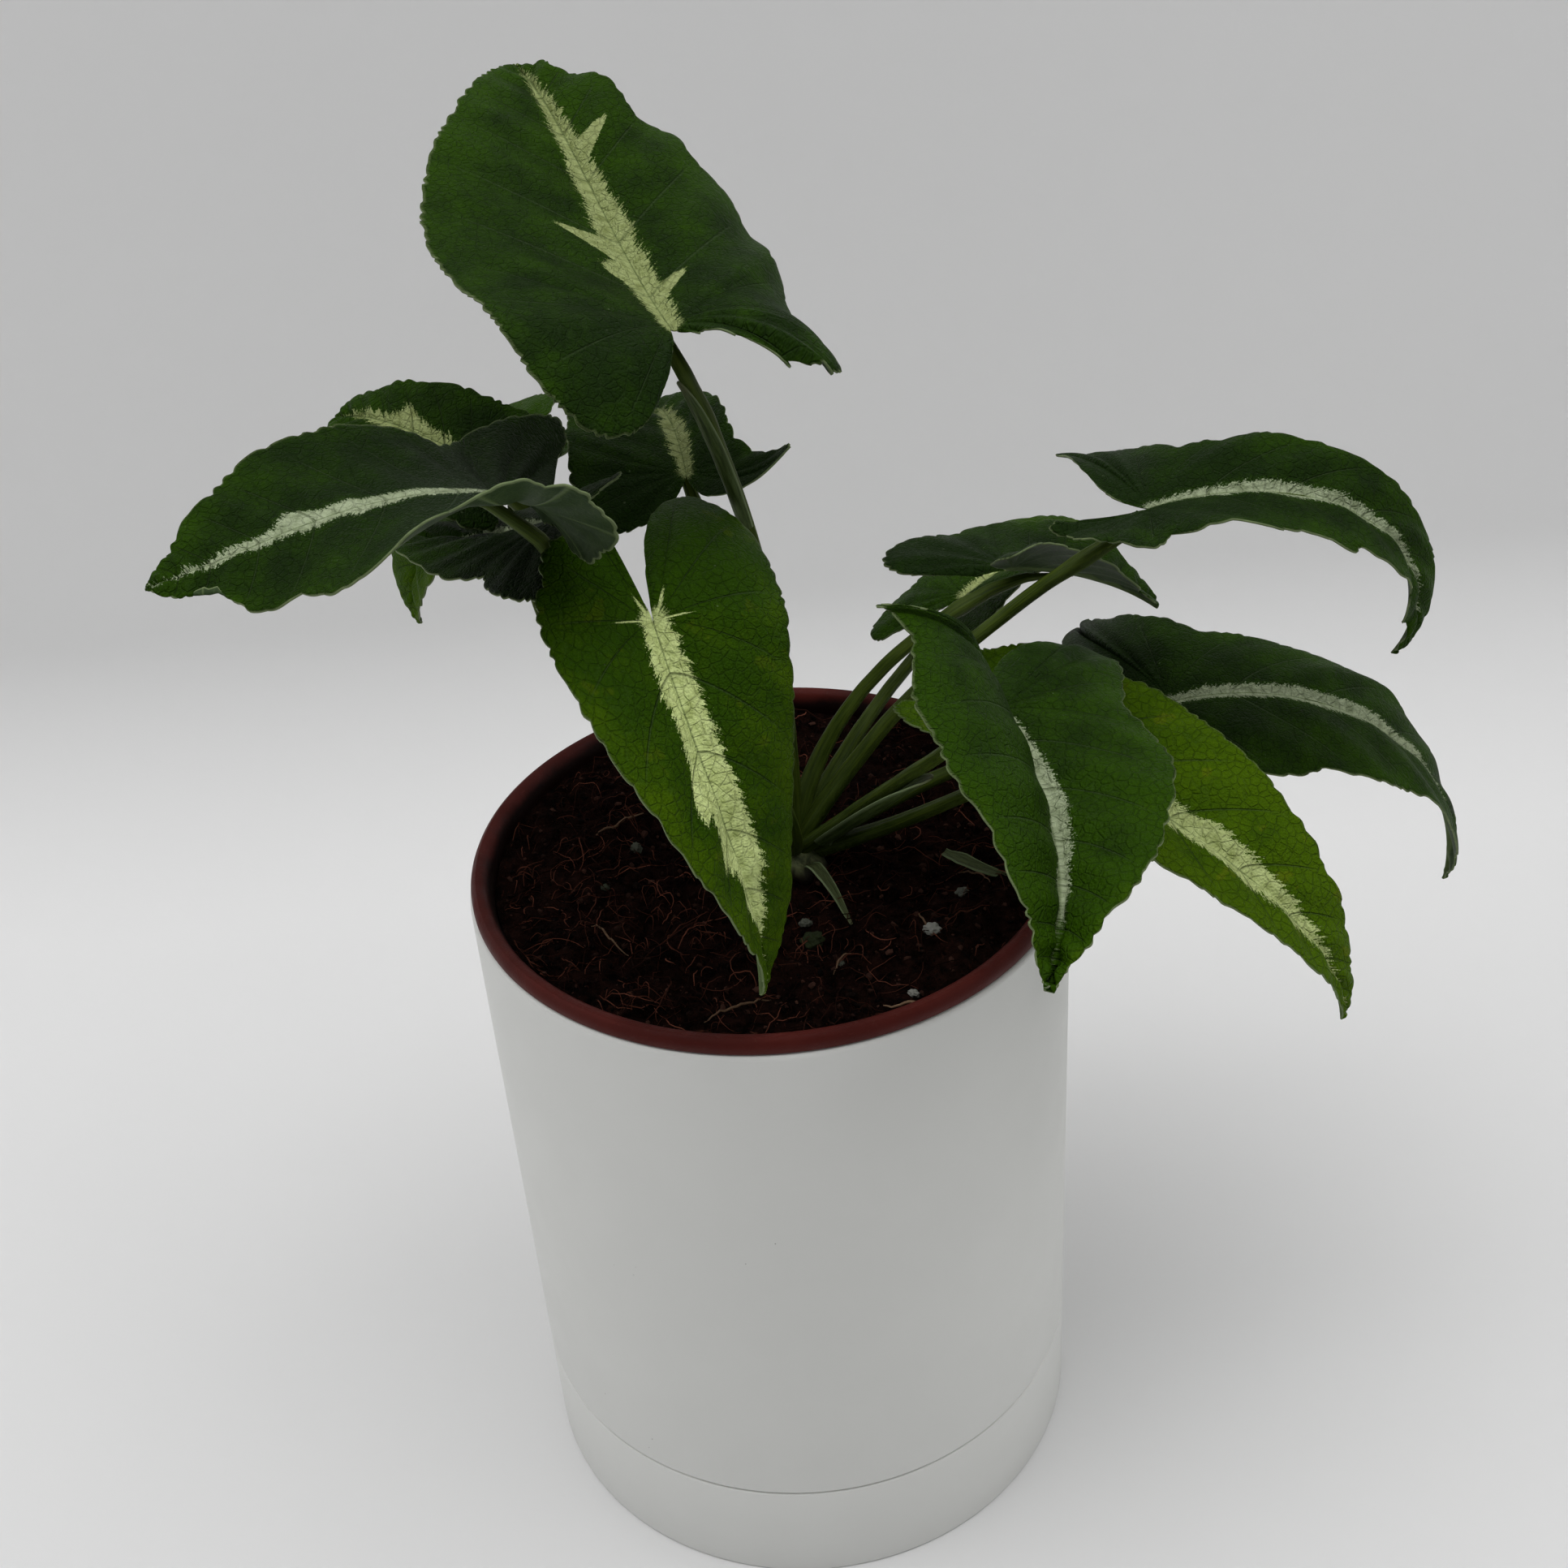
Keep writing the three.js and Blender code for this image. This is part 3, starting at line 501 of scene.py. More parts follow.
def nursery_plastic(colour):
    finish = Finish("terracotta plastic", roughness=0.5, specular=0.12)
    place = finish.place()
    cloud = finish.ramp(finish.noise(place, 60, 5, 0.6), 0.3, 0.7)
    scuff = finish.ramp(finish.noise(finish.scaled(place, (1, 1, 4)), 320, 4, 0.7), 0.60, 0.74)
    dust = finish.ramp(finish.noise(place, 900, 3, 0.6), 0.62, 0.72)
    light = tuple(min(1.0, c * 1.5 + 0.01) for c in colour)
    deep = tuple(c * 0.62 for c in colour)
    body = finish.mix(cloud, deep, colour)
    body = finish.mix(finish.math("MULTIPLY", scuff, 0.55), body, light)
    body = finish.mix(finish.math("MULTIPLY", dust, 0.15), body, (0.12, 0.06, 0.045))
    x, y, z = finish.parts(place)
    from_axis = finish.math("SQRT", finish.math("ADD", finish.math("MULTIPLY", x, x), finish.math("MULTIPLY", y, y)))
    # painted shade: inside the pot, below its rim, the plastic is darkened nearly to black to stand in for the shade in
    # the pot's mouth, with some soil staining on the inner wall
    low = finish.math("ADD", z, finish.math("MULTIPLY", cloud, 1.2 * MM))
    inside = finish.ramp(from_axis, NURSERY_HIGH.x - 1.6 * MM, NURSERY_HIGH.x - 2.4 * MM)
    shade_and_soil_stain = finish.math("MULTIPLY", inside, finish.ramp(low, NURSERY_HIGH.z + 0.4 * MM, NURSERY_HIGH.z - 1.8 * MM))
    # painted shade: the rim's outer lip and skirt are darker than its top, as the shaded side of the rim
    skirt_shade = finish.ramp(from_axis, NURSERY_HIGH.x - 0.9 * MM, NURSERY_HIGH.x - 0.3 * MM)
    body = finish.mix(finish.math("MULTIPLY", skirt_shade, 0.5), body, deep)
    finish.colour(finish.mix(finish.math("MULTIPLY", shade_and_soil_stain, 0.93), body, (0.0045, 0.002, 0.0015)))
    finish.roughness(finish.ramp(finish.noise(place, 140, 4), 0.3, 0.7, 0.40, 0.6))
    grain = finish.math("ADD", finish.noise(place, 2600, 2), finish.noise(place, 400, 3))
    finish.bump(grain, 0.00008, 0.7)
    return finish.material


def leaf_top(name, lightness, band_painted_light, grey):
    finish = Finish(name, roughness=0.5, specular=0.03)
    flat = finish.field("leaf_flat")
    vein = finish.field("leaf_vein")
    across, along, share = finish.parts(flat)
    barb_place, reach, phase = finish.parts(vein)
    pale, edge, lobe = finish.parts(finish.field("leaf_mark"))

    dark = (0.0070, 0.0185, 0.0018)
    mid = (0.021, 0.056, 0.0006)
    light = (0.054, 0.108, 0.0006)
    mottle = finish.noise(flat, 0.11, 4, 0.55)
    fine = finish.noise(flat, 1.3, 4, 0.6)
    # the leaf's lightness, partly painted light and shade, lifts the whole tone
    tone = finish.math("ADD", finish.math("MULTIPLY", share, 0.30), lightness - 0.14)
    tone = finish.math("ADD", tone, finish.math("MULTIPLY", finish.math("SUBTRACT", mottle, 0.5), 0.9))
    tone = finish.math("ADD", tone, finish.math("MULTIPLY", finish.math("SUBTRACT", fine, 0.5), 0.3))
    tone = finish.math("ADD", tone, finish.math("MULTIPLY", finish.ramp(edge, 0.6, 1.0), 0.14))
    body = finish.mix(finish.ramp(tone, 0.0, 0.6), dark, mid)
    body = finish.mix(finish.ramp(tone, 0.55, 1.1), body, light)

    patch = finish.ramp(finish.noise(finish.scaled(flat, (1, 1, 0)), 0.14, 3, 0.6), 0.60, 0.66)
    body = finish.mix(finish.math("MULTIPLY", patch, max(0.0, lightness - 0.55)), body, (0.12, 0.15, 0.004))

    # side veins: a fine line on the crest between two swellings, paler than the blade
    from_vein = finish.math("ABSOLUTE", finish.math("SUBTRACT", finish.math("FRACT", phase), 0.5))
    line = finish.ramp(from_vein, 0.47, 0.498)
    line = finish.math("MULTIPLY", line, finish.ramp(edge, 0.98, 0.6))
    body = finish.mix(finish.math("MULTIPLY", line, 0.35), body, (0.055, 0.085, 0.035))
    net = finish.ramp(finish.cells(flat, 0.55, "DISTANCE_TO_EDGE"), 0.0, 0.10, 1.0, 0.0)
    body = finish.mix(finish.math("MULTIPLY", net, 0.10), body, (0.035, 0.06, 0.02))

    # the pale band with its feathered barbs
    barb = finish.math("SUBTRACT", finish.noise(vein, 1.0, 4, 0.7, 0.2), 0.5)
    drift = finish.math("SUBTRACT", finish.noise(finish.scaled(vein, (0.11, 0.2, 1)), 1.0, 2), 0.5)
    fleck = finish.math("SUBTRACT", finish.noise(flat, 2.6, 3, 0.7), 0.5)
    stray = finish.math("ADD", finish.math("MULTIPLY", barb, 3.6 if grey else 5.5), finish.math("MULTIPLY", fleck, 3.6))
    stray = finish.math("ADD", stray, finish.math("MULTIPLY", drift, 1.2 if grey else 2.2))
    border = finish.math("ADD", pale, stray)
    band = finish.ramp(border, -0.15, 0.25)
    halo = finish.ramp(border, -1.6, 0.3)
    deep, cream = ((0.22, 0.265, 0.15), (0.38, 0.44, 0.28)) if grey else ((0.27, 0.32, 0.11), (0.43, 0.50, 0.21))
    # the band's colours scaled by its leaf's painted light and shade
    deep, cream = (tuple(c * band_painted_light for c in paint) for paint in (deep, cream))
    band_tone = finish.noise(flat, 0.5, 4, 0.6)
    paint = finish.mix(finish.ramp(band_tone, 0.25, 0.65), deep, cream)
    inner_line = finish.ramp(finish.math("ABSOLUTE", across), 0.08, 0.22, 1.0, 0.0)
    inner_line = finish.math("MAXIMUM", finish.math("MULTIPLY", inner_line, 0.6),
                             finish.math("MULTIPLY", finish.ramp(from_vein, 0.482, 0.497), 0.5))
    paint = finish.mix(inner_line, paint, (0.09, 0.13, 0.04))
    body = finish.mix(finish.math("MULTIPLY", halo, 0.4), body, mid)
    body = finish.mix(band, body, paint)

    # margin and scars
    rim = finish.ramp(edge, 0.982, 0.996)
    body = finish.mix(finish.math("MULTIPLY", rim, 0.5), body, (0.13, 0.17, 0.07))
    scar = finish.ramp(finish.cells(flat, 0.16), 0.03, 0.045, 1.0, 0.0)
    finish.colour(finish.mix(finish.math("MULTIPLY", scar, 0.35), body, (0.15, 0.20, 0.10)))
    finish.roughness(finish.ramp(fine, 0.3, 0.7, 0.40, 0.55))

    # relief: side veins sunk, small cells raised
    cells = finish.math("MULTIPLY", finish.cells(flat, 2.3), 0.5)
    relief = finish.math("SUBTRACT", finish.math("ADD", cells, finish.math("MULTIPLY", fine, 0.8)), line)
    relief = finish.math("SUBTRACT", relief, finish.math("MULTIPLY", net, 0.5))
    finish.bump(relief, 0.00045, 1.0)
    return finish.material


def leaf_under(name, lightness):
    finish = Finish(name, roughness=0.55, specular=0.15)
    flat = finish.field("leaf_flat")
    across, along, share = finish.parts(flat)
    phase = finish.parts(finish.field("leaf_vein"))[2]
    edge = finish.parts(finish.field("leaf_mark"))[1]
    mottle = finish.noise(flat, 0.2, 4, 0.6)
    # the leaf's lightness, partly painted light and shade, lifts the underside's tone too
    tone = finish.math("ADD", finish.math("MULTIPLY", mottle, 0.6), lightness * 0.6)
    body = finish.mix(finish.ramp(tone, 0.2, 1.1), (0.016, 0.034, 0.009), (0.060, 0.105, 0.022))
    from_vein = finish.math("ABSOLUTE", finish.math("SUBTRACT", finish.math("FRACT", phase), 0.5))
    line = finish.ramp(from_vein, 0.45, 0.495)
    midrib = finish.ramp(finish.math("ABSOLUTE", across), 0.7, 1.6, 1.0, 0.0)
    ribs = finish.math("MAXIMUM", finish.math("MULTIPLY", line, 0.5), finish.math("MULTIPLY", midrib, 0.7))
    body = finish.mix(ribs, body, (0.12, 0.17, 0.06))
    net = finish.ramp(finish.cells(flat, 0.55, "DISTANCE_TO_EDGE"), 0.0, 0.12, 1.0, 0.0)
    body = finish.mix(finish.math("MULTIPLY", net, 0.18), body, (0.08, 0.12, 0.045))
    rim = finish.ramp(edge, 0.975, 0.993)
    finish.colour(finish.mix(finish.math("MULTIPLY", rim, 0.5), body, (0.24, 0.30, 0.14)))
    relief = finish.math("ADD", finish.math("MULTIPLY", ribs, 1.2), finish.noise(flat, 1.6, 4, 0.6))
    finish.bump(relief, 0.0002, 0.7)
    return finish.material


def stalk_skin():
    finish = Finish("stalk skin", roughness=0.45, specular=0.08)
    place = finish.field("stalk_place")
    around, along, share = finish.parts(place)
    streak = finish.noise(finish.scaled(place, (1.6, 0.05, 1)), 2.0, 4, 0.6)
    cloud = finish.noise(finish.scaled(place, (0.3, 0.08, 1)), 1.0, 3)
    body = finish.mix(finish.ramp(streak, 0.3, 0.72), (0.016, 0.031, 0.0015), (0.058, 0.085, 0.008))
    body = finish.mix(finish.math("MULTIPLY", finish.ramp(cloud, 0.4, 0.75), 0.5), body, (0.070, 0.105, 0.022))
    pale = finish.ramp(finish.noise(finish.scaled(place, (3.2, 0.09, 1)), 2.0, 3), 0.62, 0.75)
    body = finish.mix(finish.math("MULTIPLY", pale, 0.4), body, (0.13, 0.165, 0.07))
    foot = finish.ramp(along, 7.0, 0.0)
    finish.colour(finish.mix(finish.math("MULTIPLY", foot, 0.55), body, (0.05, 0.05, 0.018)))
    finish.bump(finish.math("ADD", streak, pale), 0.00022, 0.8)
    return finish.material


def sheath_skin(name, dry):
    finish = Finish(name, roughness=0.5, specular=0.18)
    place = finish.field("stalk_place")
    across, along, share = finish.parts(place)
    streak = finish.noise(finish.scaled(place, (2.2, 0.05, 1)), 2.4, 4, 0.6)
    fresh = (0.022, 0.038, 0.006) if not dry else (0.030, 0.040, 0.012)
    pale = (0.065, 0.10, 0.026) if not dry else (0.075, 0.095, 0.035)
    body = finish.mix(finish.ramp(streak, 0.3, 0.68), fresh, pale)
    margin = finish.ramp(finish.math("ABSOLUTE", across), 0.8, 0.98)
    body = finish.mix(finish.math("MULTIPLY", margin, 0.75), body, (0.20, 0.26, 0.13))
    tip = finish.ramp(share, 0.86, 1.0)
    finish.colour(finish.mix(finish.math("MULTIPLY", tip, 0.6), body, (0.12, 0.12, 0.055)))
    finish.bump(streak, 0.0003, 0.9)
    return finish.material


def soil_body():
    finish = Finish("potting soil", roughness=0.95, specular=0.03)
    place = finish.place()
    lump = finish.noise(place, 260, 6, 0.7)
    grain = finish.noise(place, 1500, 4, 0.7)
    fibre = finish.noise(finish.scaled(place, (1, 0.25, 1)), 1100, 5, 0.7, 1.6)
    body = finish.mix(finish.ramp(lump, 0.35, 0.7), (0.0012, 0.0007, 0.0005), (0.022, 0.0085, 0.006))
    body = finish.mix(finish.math("MULTIPLY", finish.ramp(fibre, 0.56, 0.7), 0.6), body, (0.060, 0.018, 0.011))
    finish.colour(finish.mix(finish.math("MULTIPLY", finish.ramp(grain, 0.66, 0.75), 0.5), body,
                             (0.028, 0.018, 0.013)))
    finish.bump(finish.math("ADD", lump, grain), 0.0012, 1.0)
    return finish.material


def tinted(name, low, high, bump, roughness=0.9):
    """A finish that runs from one colour to another with each loose piece's own tint."""
    finish = Finish(name, roughness=roughness, specular=0.05)
    place = finish.place()
    tint = finish.parts(finish.field("tint"))[0]
    grain = finish.noise(place, 1700, 4, 0.65)
    mixed = finish.math("ADD", finish.math("MULTIPLY", tint, 0.8), finish.math("MULTIPLY", grain, 0.2))
    finish.colour(finish.mix(finish.ramp(mixed, 0.05, 1.0), low, high))
    finish.bump(grain, bump, 1.0)
    return finish.material


def crown_skin():
    finish = Finish("crown skin", roughness=0.6, specular=0.3)
    place = finish.place()
    band = finish.noise(finish.scaled(place, (1, 1, 0.2)), 700, 4, 0.65)
    body = finish.mix(finish.ramp(band, 0.35, 0.65), (0.035, 0.045, 0.015), (0.13, 0.15, 0.06))
    low = finish.ramp(finish.parts(place)[2], SOIL_LEVEL + 3.5 * MM, SOIL_LEVEL)
    finish.colour(finish.mix(finish.math("MULTIPLY", low, 0.9), body, (0.02, 0.012, 0.008)))
    finish.bump(band, 0.0006, 1.0)
    return finish.material


# ------------------------------------------------------------------------------------------------
# Pots
# ------------------------------------------------------------------------------------------------

TURNED_SIDES = 192


def make_cover_pot(sizes):
    gap = 0.1 * MM
    radius = POT_HIGH.x
    bore = radius - sizes.wall
    base = TRAY_HIGH.z + 0.26 * MM
    foot = radius - sizes.wall - 0.6 * MM
    profile = [
        (foot - 4 * MM, base), (foot - 4 * MM, POT_LOW.z), (foot, POT_LOW.z), (foot, base),
        (radius, base), (radius, POT_HIGH.z), (bore, POT_HIGH.z), (bore, base + 4 * MM),
    ]
    piece = turned_piece("cover_pot_glazed", profile, TURNED_SIDES)
    drill(piece, [(0, 0, base)], 5 * MM, 16 * MM)
    round_edges(piece, 1.15 * MM - gap, 4, 60)
    smooth(piece)
    return piece


def make_drip_tray(sizes):
    radius = TRAY_HIGH.x
    bore = radius - sizes.wall
    rim = TRAY_HIGH.z + 0.2 * MM
    profile = [(radius, 0), (radius, rim), (bore, rim), (bore, sizes.wall)]
    piece = turned_piece("drip_tray_glazed", profile, TURNED_SIDES)
    round_edges(piece, 0.35 * MM, 3, 60)
    smooth(piece)
    return piece


def make_nursery_pot(sizes):
    top = NURSERY_HIGH.z
    radius = NURSERY_HIGH.x
    wall = 1.2 * MM
    seat = top - sizes.rim_skirt
    neck = POT_HIGH.x - sizes.wall - 0.5 * MM
    bottom = NURSERY_LOW.z
    inner = radius - sizes.rim_top - 0.9 * MM
    profile = [
        (43 * MM, bottom), (neck, POT_HIGH.z), (neck, top - wall), (radius - wall, top - wall),
        (radius - wall, seat), (radius, seat), (radius, top - 1.5 * MM), (radius - 0.45 * MM, top - 0.55 * MM),
        (radius - 1.1 * MM, top), (radius - sizes.rim_top, top), (inner, top - 0.7 * MM),
        (neck - wall, top - 3 * MM), (neck - wall, POT_HIGH.z), (42 * MM, bottom + wall),
    ]
    piece = turned_piece("nursery_pot_moulded", profile, TURNED_SIDES)
    ring = [Vector((28 * MM * math.cos(a), 28 * MM * math.sin(a), bottom))
            for a in (math.radians(60 * i) for i in range(6))]
    drill(piece, ring, 4 * MM, 4.8 * MM)
    round_edges(piece, 0.3 * MM, 2, 50)
    smooth(piece)
    return piece


# ------------------------------------------------------------------------------------------------
# Leaf shape
# ------------------------------------------------------------------------------------------------


def smooth_curve(points, share):
    """The curve through the points at even steps, at shares of its run."""
    points = np.asarray(points, float)
    ends = np.vstack([2 * points[0] - points[1], points, 2 * points[-1] - points[-2]])
    run = np.clip(share, 0, 1) * (len(points) - 1)
    step = np.minimum(run.astype(int), len(points) - 2)
    f = (run - step)[:, None]
    a, b, c, d = ends[step], ends[step + 1], ends[step + 2], ends[step + 3]
    return 0.5 * (2 * b + (c - a) * f + (2 * a - 5 * b + 4 * c - d) * f ** 2 + (3 * b - a - 3 * c + d) * f ** 3)


def leaf_frame(leaf, share):
    heading = np.radians(leaf["heading"] + leaf["sweep"] * share)
    pitch = np.radians(leaf["pitch"] - leaf["droop"] * share - leaf["hook"] * share ** 3)
    roll = np.radians(leaf["roll"] + leaf["twist"] * share)[:, None]
    zero = np.zeros_like(heading)
    ahead = np.stack([np.cos(heading) * np.cos(pitch), np.sin(heading) * np.cos(pitch), np.sin(pitch)], 1)
    level = np.stack([np.sin(heading), -np.cos(heading), zero], 1)
    above = np.cross(level, ahead)
    beside = level * np.cos(roll) - above * np.sin(roll)
    up = above * np.cos(roll) + level * np.sin(roll)
    return ahead, beside, up


def join_of(leaf):
    return np.array(leaf["join"], float) + np.array(CROWN) / MM


def midrib_of(leaf):
    middles = (np.arange(MIDRIB_STEPS) + 0.5) / MIDRIB_STEPS
    steps = leaf_frame(leaf, middles)[0] * leaf["length"] / MIDRIB_STEPS
    return join_of(leaf) + np.vstack([np.zeros(3), np.cumsum(steps, 0)])


def ripple(values, seed, octaves=3):
    """Smooth noise of one value, about from -1 to 1."""
    total = np.zeros_like(values)
    for octave in range(octaves):
        total += [noise.noise(Vector((v * 2 ** octave, seed, octave * 7.3))) / 2 ** octave for v in values]
    return total * 1.6


def half_outline(leaf, side, run):
    """The flat outline's across and along at shares of its run, and where along each vein starts."""
    part = leaf[side]
    length, width = leaf["length"], part["width"]
    controls = []
    for across, along, in_lobe in HALF_OUTLINE:
        swell = 1 + leaf["fullness"] * math.sin(math.pi * along) if along > 0 else 1
        controls.append((across * swell, along * part["lobe"] if in_lobe else along))
    found = smooth_curve(controls, run)
    plain = smooth_curve([point[:2] for point in HALF_OUTLINE], run)
    across = np.maximum(0, found[:, 0] * width)
    along = found[:, 1] * length
    swing = np.maximum(0, LOBE_TURN * length - along) * np.minimum(1, across / (LOBE_INNER * width))
    across = across + math.tan(math.radians(part["spread"])) * swing
    root = length * np.clip(plain[:, 1] - VEIN_LEAN * plain[:, 0], 0, 1)
    return across, along, np.where(run >= 1, length, root)


def bend(leaf, midrib, side, across, along):
    """Points of the flat blade carried onto the bent one, with the blade's upward direction."""
    part = leaf[side]
    length = leaf["length"]
    share = np.clip(along / length, 0, 1)
    ahead, beside, up = leaf_frame(leaf, share)
    run = share * MIDRIB_STEPS
    points = np.stack([np.interp(run, np.arange(MIDRIB_STEPS + 1), midrib[:, axis]) for axis in range(3)], 1)
    behind = np.maximum(0, -along)
    lobe_length = part["lobe"] * length
    turn = math.radians(part["back"])
    angle = (turn * behind / lobe_length)[:, None]
    points = points - ahead * (lobe_length / turn) * np.sin(angle) - up * (lobe_length / turn) * (1 - np.cos(angle))
    up = up * np.cos(angle) - ahead * np.sin(angle)
    width = part["width"]
    fold = math.radians(part["fold"])
    curl = math.radians(part["curl"] or 1)
    turned = fold + curl * across / width
    out = (width / curl) * (np.sin(turned) - math.sin(fold))
    rise = (width / curl) * (math.cos(fold) - np.cos(turned))
    sign = 1 if side == "right" else -1
    surface = points + beside * (sign * out)[:, None] + up * rise[:, None]
    normal = up * np.cos(turned)[:, None] - beside * (sign * np.sin(turned))[:, None]
    return surface, normal


def band_width(band, share):
    """Half the pale band's width at a share of the blade's length."""
    rise = np.clip(share / band["peak"], 0, 1)
    fall = np.clip((band["end"] - share) / (band["end"] - band["peak"]), 0, 1)
    width = band["width"] * (0.55 + 0.45 * rise ** 0.7) * fall ** 0.75
    return np.where(share > band["end"], band["width"] * -2 * (share - band["end"]) - 0.5, width)


def make_blade(leaf, sizes):
    midrib = midrib_of(leaf)
    band = BANDS[leaf["name"]]
    seed = 3.1 + 5.7 * LEAVES.index(leaf)

    def place(u, v):
        count = len(u)
        points = np.zeros((count, 3))
        flat, vein, mark = np.zeros((count, 3)), np.zeros((count, 3)), np.zeros((count, 3))
        column = np.abs(u - 0.5) * 2
        rows, back = np.unique(np.round(v, 6), return_inverse=True)
        for side, here in (("left", u < 0.5), ("right", u >= 0.5)):
            part = leaf[side]
            row_across, row_along, row_root = half_outline(leaf, side, rows)
            side_seed = seed + (11.0 if side == "left" else 0.0)
            reach = np.hypot(row_across, row_along - row_root)
            calm = np.clip(reach / 8, 0, 1) * np.clip((1 - rows) / 0.06, 0, 1)
            around = rows * leaf["length"] * 1.5
            uneven = ripple(around / 16.0, side_seed + 3, 2)
            teeth = 1 - np.abs(np.sin(math.pi * (around / 2.6 + 0.9 * ripple(around / 5.0, side_seed, 2))))
            scallop = 1 - np.abs(np.sin(math.pi * (around / 10.0 + 0.5 * uneven))) ** 0.8
            depth = np.clip(0.55 + 0.6 * uneven, 0, 1)
            nibble = -calm * (sizes.teeth * teeth + sizes.scallops * part["ruffle"] * scallop * depth) / MM
            wave = calm * (sizes.ruffle / MM) * part["ruffle"] * ripple(around / 10.0, side_seed + 5, 2)
            lift = ripple(around / 30.0, side_seed + 8, 1) * calm * 0.9
            c = column[here]
            pick = back[here]
            shrink = 1 + (nibble / np.maximum(reach, 1e-3))[pick] * c ** 6
            bow = np.where(row_along[pick] < 0, 1.15, 1.25)
            across = row_across[pick] * c * shrink
            along = row_root[pick] + (row_along - row_root)[pick] * c ** bow * shrink
            surface, normal = bend(leaf, midrib, side, across, along)
            phase = np.interp(rows, VEIN_PLACES, np.arange(len(VEIN_PLACES)))[pick]
            swell = np.sin(math.pi * phase) ** 2 * np.sin(math.pi * np.clip(c, 0, 1) ** 0.8) ** 0.7
            groove = np.exp(-(across / 0.8) ** 2)
            height = (sizes.quilting / MM) * (swell - 0.7) * np.clip(np.hypot(across, along) / 22, 0, 1)
            height = height + wave[pick] * c ** 2 + lift[pick] * c ** 2 - 0.35 * groove
            points[here] = surface + normal * height[:, None]
            sign = 1 if side == "right" else -1
            length = leaf["length"]
            flat[here] = np.stack([sign * across, along, along / length], 1)
            vein[here] = np.stack([rows[pick] * length * 5.5 + seed * 9, across / 3.2 + 40 * (sign + 1), phase], 1)
            pale = band_width(band, row_root[pick] / length) - across
            pale = np.where(row_root[pick] > 0, pale, band_width(band, along / length) - np.hypot(across, along))
            for branch_side, at, far, spread in band["branches"]:
                if branch_side == side:
                    spike = far * np.exp(-((rows[pick] - at) / spread) ** 2)
                    pale = np.maximum(pale, spike - np.hypot(across, along - row_root[pick]) * 0.8)
            mark[here] = np.stack([pale, c, (row_along[pick] < 0) * 1.0], 1)
        return points * MM, dict(leaf_flat=flat, leaf_vein=vein, leaf_mark=mark)

    piece = grid_piece("leaf_" + leaf["name"], 2 * BLADE_COLUMNS, BLADE_ROWS, place)
    weld(piece, 2e-6)
    light = LIGHTNESS[leaf["name"]]
    piece.data.materials.append(leaf_top("leaf top " + leaf["name"], light, BAND_PAINTED_LIGHT.get(leaf["name"], 1.0),
                                         leaf["name"] in GREY_BANDS))
    piece.data.materials.append(leaf_under("leaf underside " + leaf["name"], light))
    apply_modifier(piece, "SOLIDIFY", thickness=sizes.thickness, offset=0.0, material_offset=1,
                   material_offset_rim=1)
    select_only(piece)
    bpy.ops.object.shade_smooth()
    return piece


# ------------------------------------------------------------------------------------------------
# Stalks, sheaths and crown
# ------------------------------------------------------------------------------------------------


def stalk_ends(leaf):
    """Start, bend and end of a stalk's curve, in millimetres, as in the frame."""
    azimuth, rise = math.radians(leaf["azimuth"]), math.radians(leaf["rise"])
    first = np.array([math.cos(azimuth) * math.cos(rise), math.sin(azimuth) * math.cos(rise), math.sin(rise)])
    start = np.array(CROWN) / MM + first * (CROWN_RADIUS / MM + 0.3)
    up = leaf_frame(leaf, np.zeros(1))[2][0]
    end = join_of(leaf) - up * (CAD_BLADE / 2 + CAD_GAP + CAD_STALK)
    middle = start + first * np.linalg.norm(end - start) * STALK_REACH
    return first, start, middle, end, up


def bezier(start, middle, end, share):
    share = np.asarray(share, float)[:, None]
    return start * (1 - share) ** 2 + 2 * middle * share * (1 - share) + end * share ** 2


def stalk_path(leaf, count, top):
    """The stalk's centre line from inside the crown, up its curve and on under the midrib."""
    first, start, middle, end, up = stalk_ends(leaf)
    foot = start - first * 6.5
    curve = bezier(start, middle, end, np.linspace(0, 0.94, 30))
    midrib = midrib_of(leaf)
    ups = leaf_frame(leaf, np.linspace(0, 1, MIDRIB_STEPS + 1))[2]
    under = [midrib[i] - ups[i] * (0.65 + top * (1 - 0.85 * (i - 5) / 25)) for i in range(5, 35, 5)]
    points = np.vstack([foot, (foot + start) / 2, curve, under])
    gaps = np.linalg.norm(np.diff(points, axis=0), axis=1)
    run = np.concatenate([[0], np.cumsum(gaps)])
    even = np.interp(np.linspace(0, 1, 400), run / run[-1], np.linspace(0, 1, len(points)))
    dense = smooth_curve(points, even)
    pick = np.linspace(0, 399, count).round().astype(int)
    return dense[pick], run[-1], run[-len(under) - 1] / run[-1]


def frames_along(path, hint):
    """Side and upper directions along a path, carried on without twist."""
    ahead = np.gradient(path, axis=0)
    ahead /= np.linalg.norm(ahead, axis=1)[:, None]
    sides, uppers = [], []
    side = np.cross(ahead[0], hint)
    for direction in ahead:
        side = side - direction * np.dot(side, direction)
        side = side / np.linalg.norm(side)
        sides.append(side)
        uppers.append(np.cross(side, direction))
    return np.array(sides), np.array(uppers)


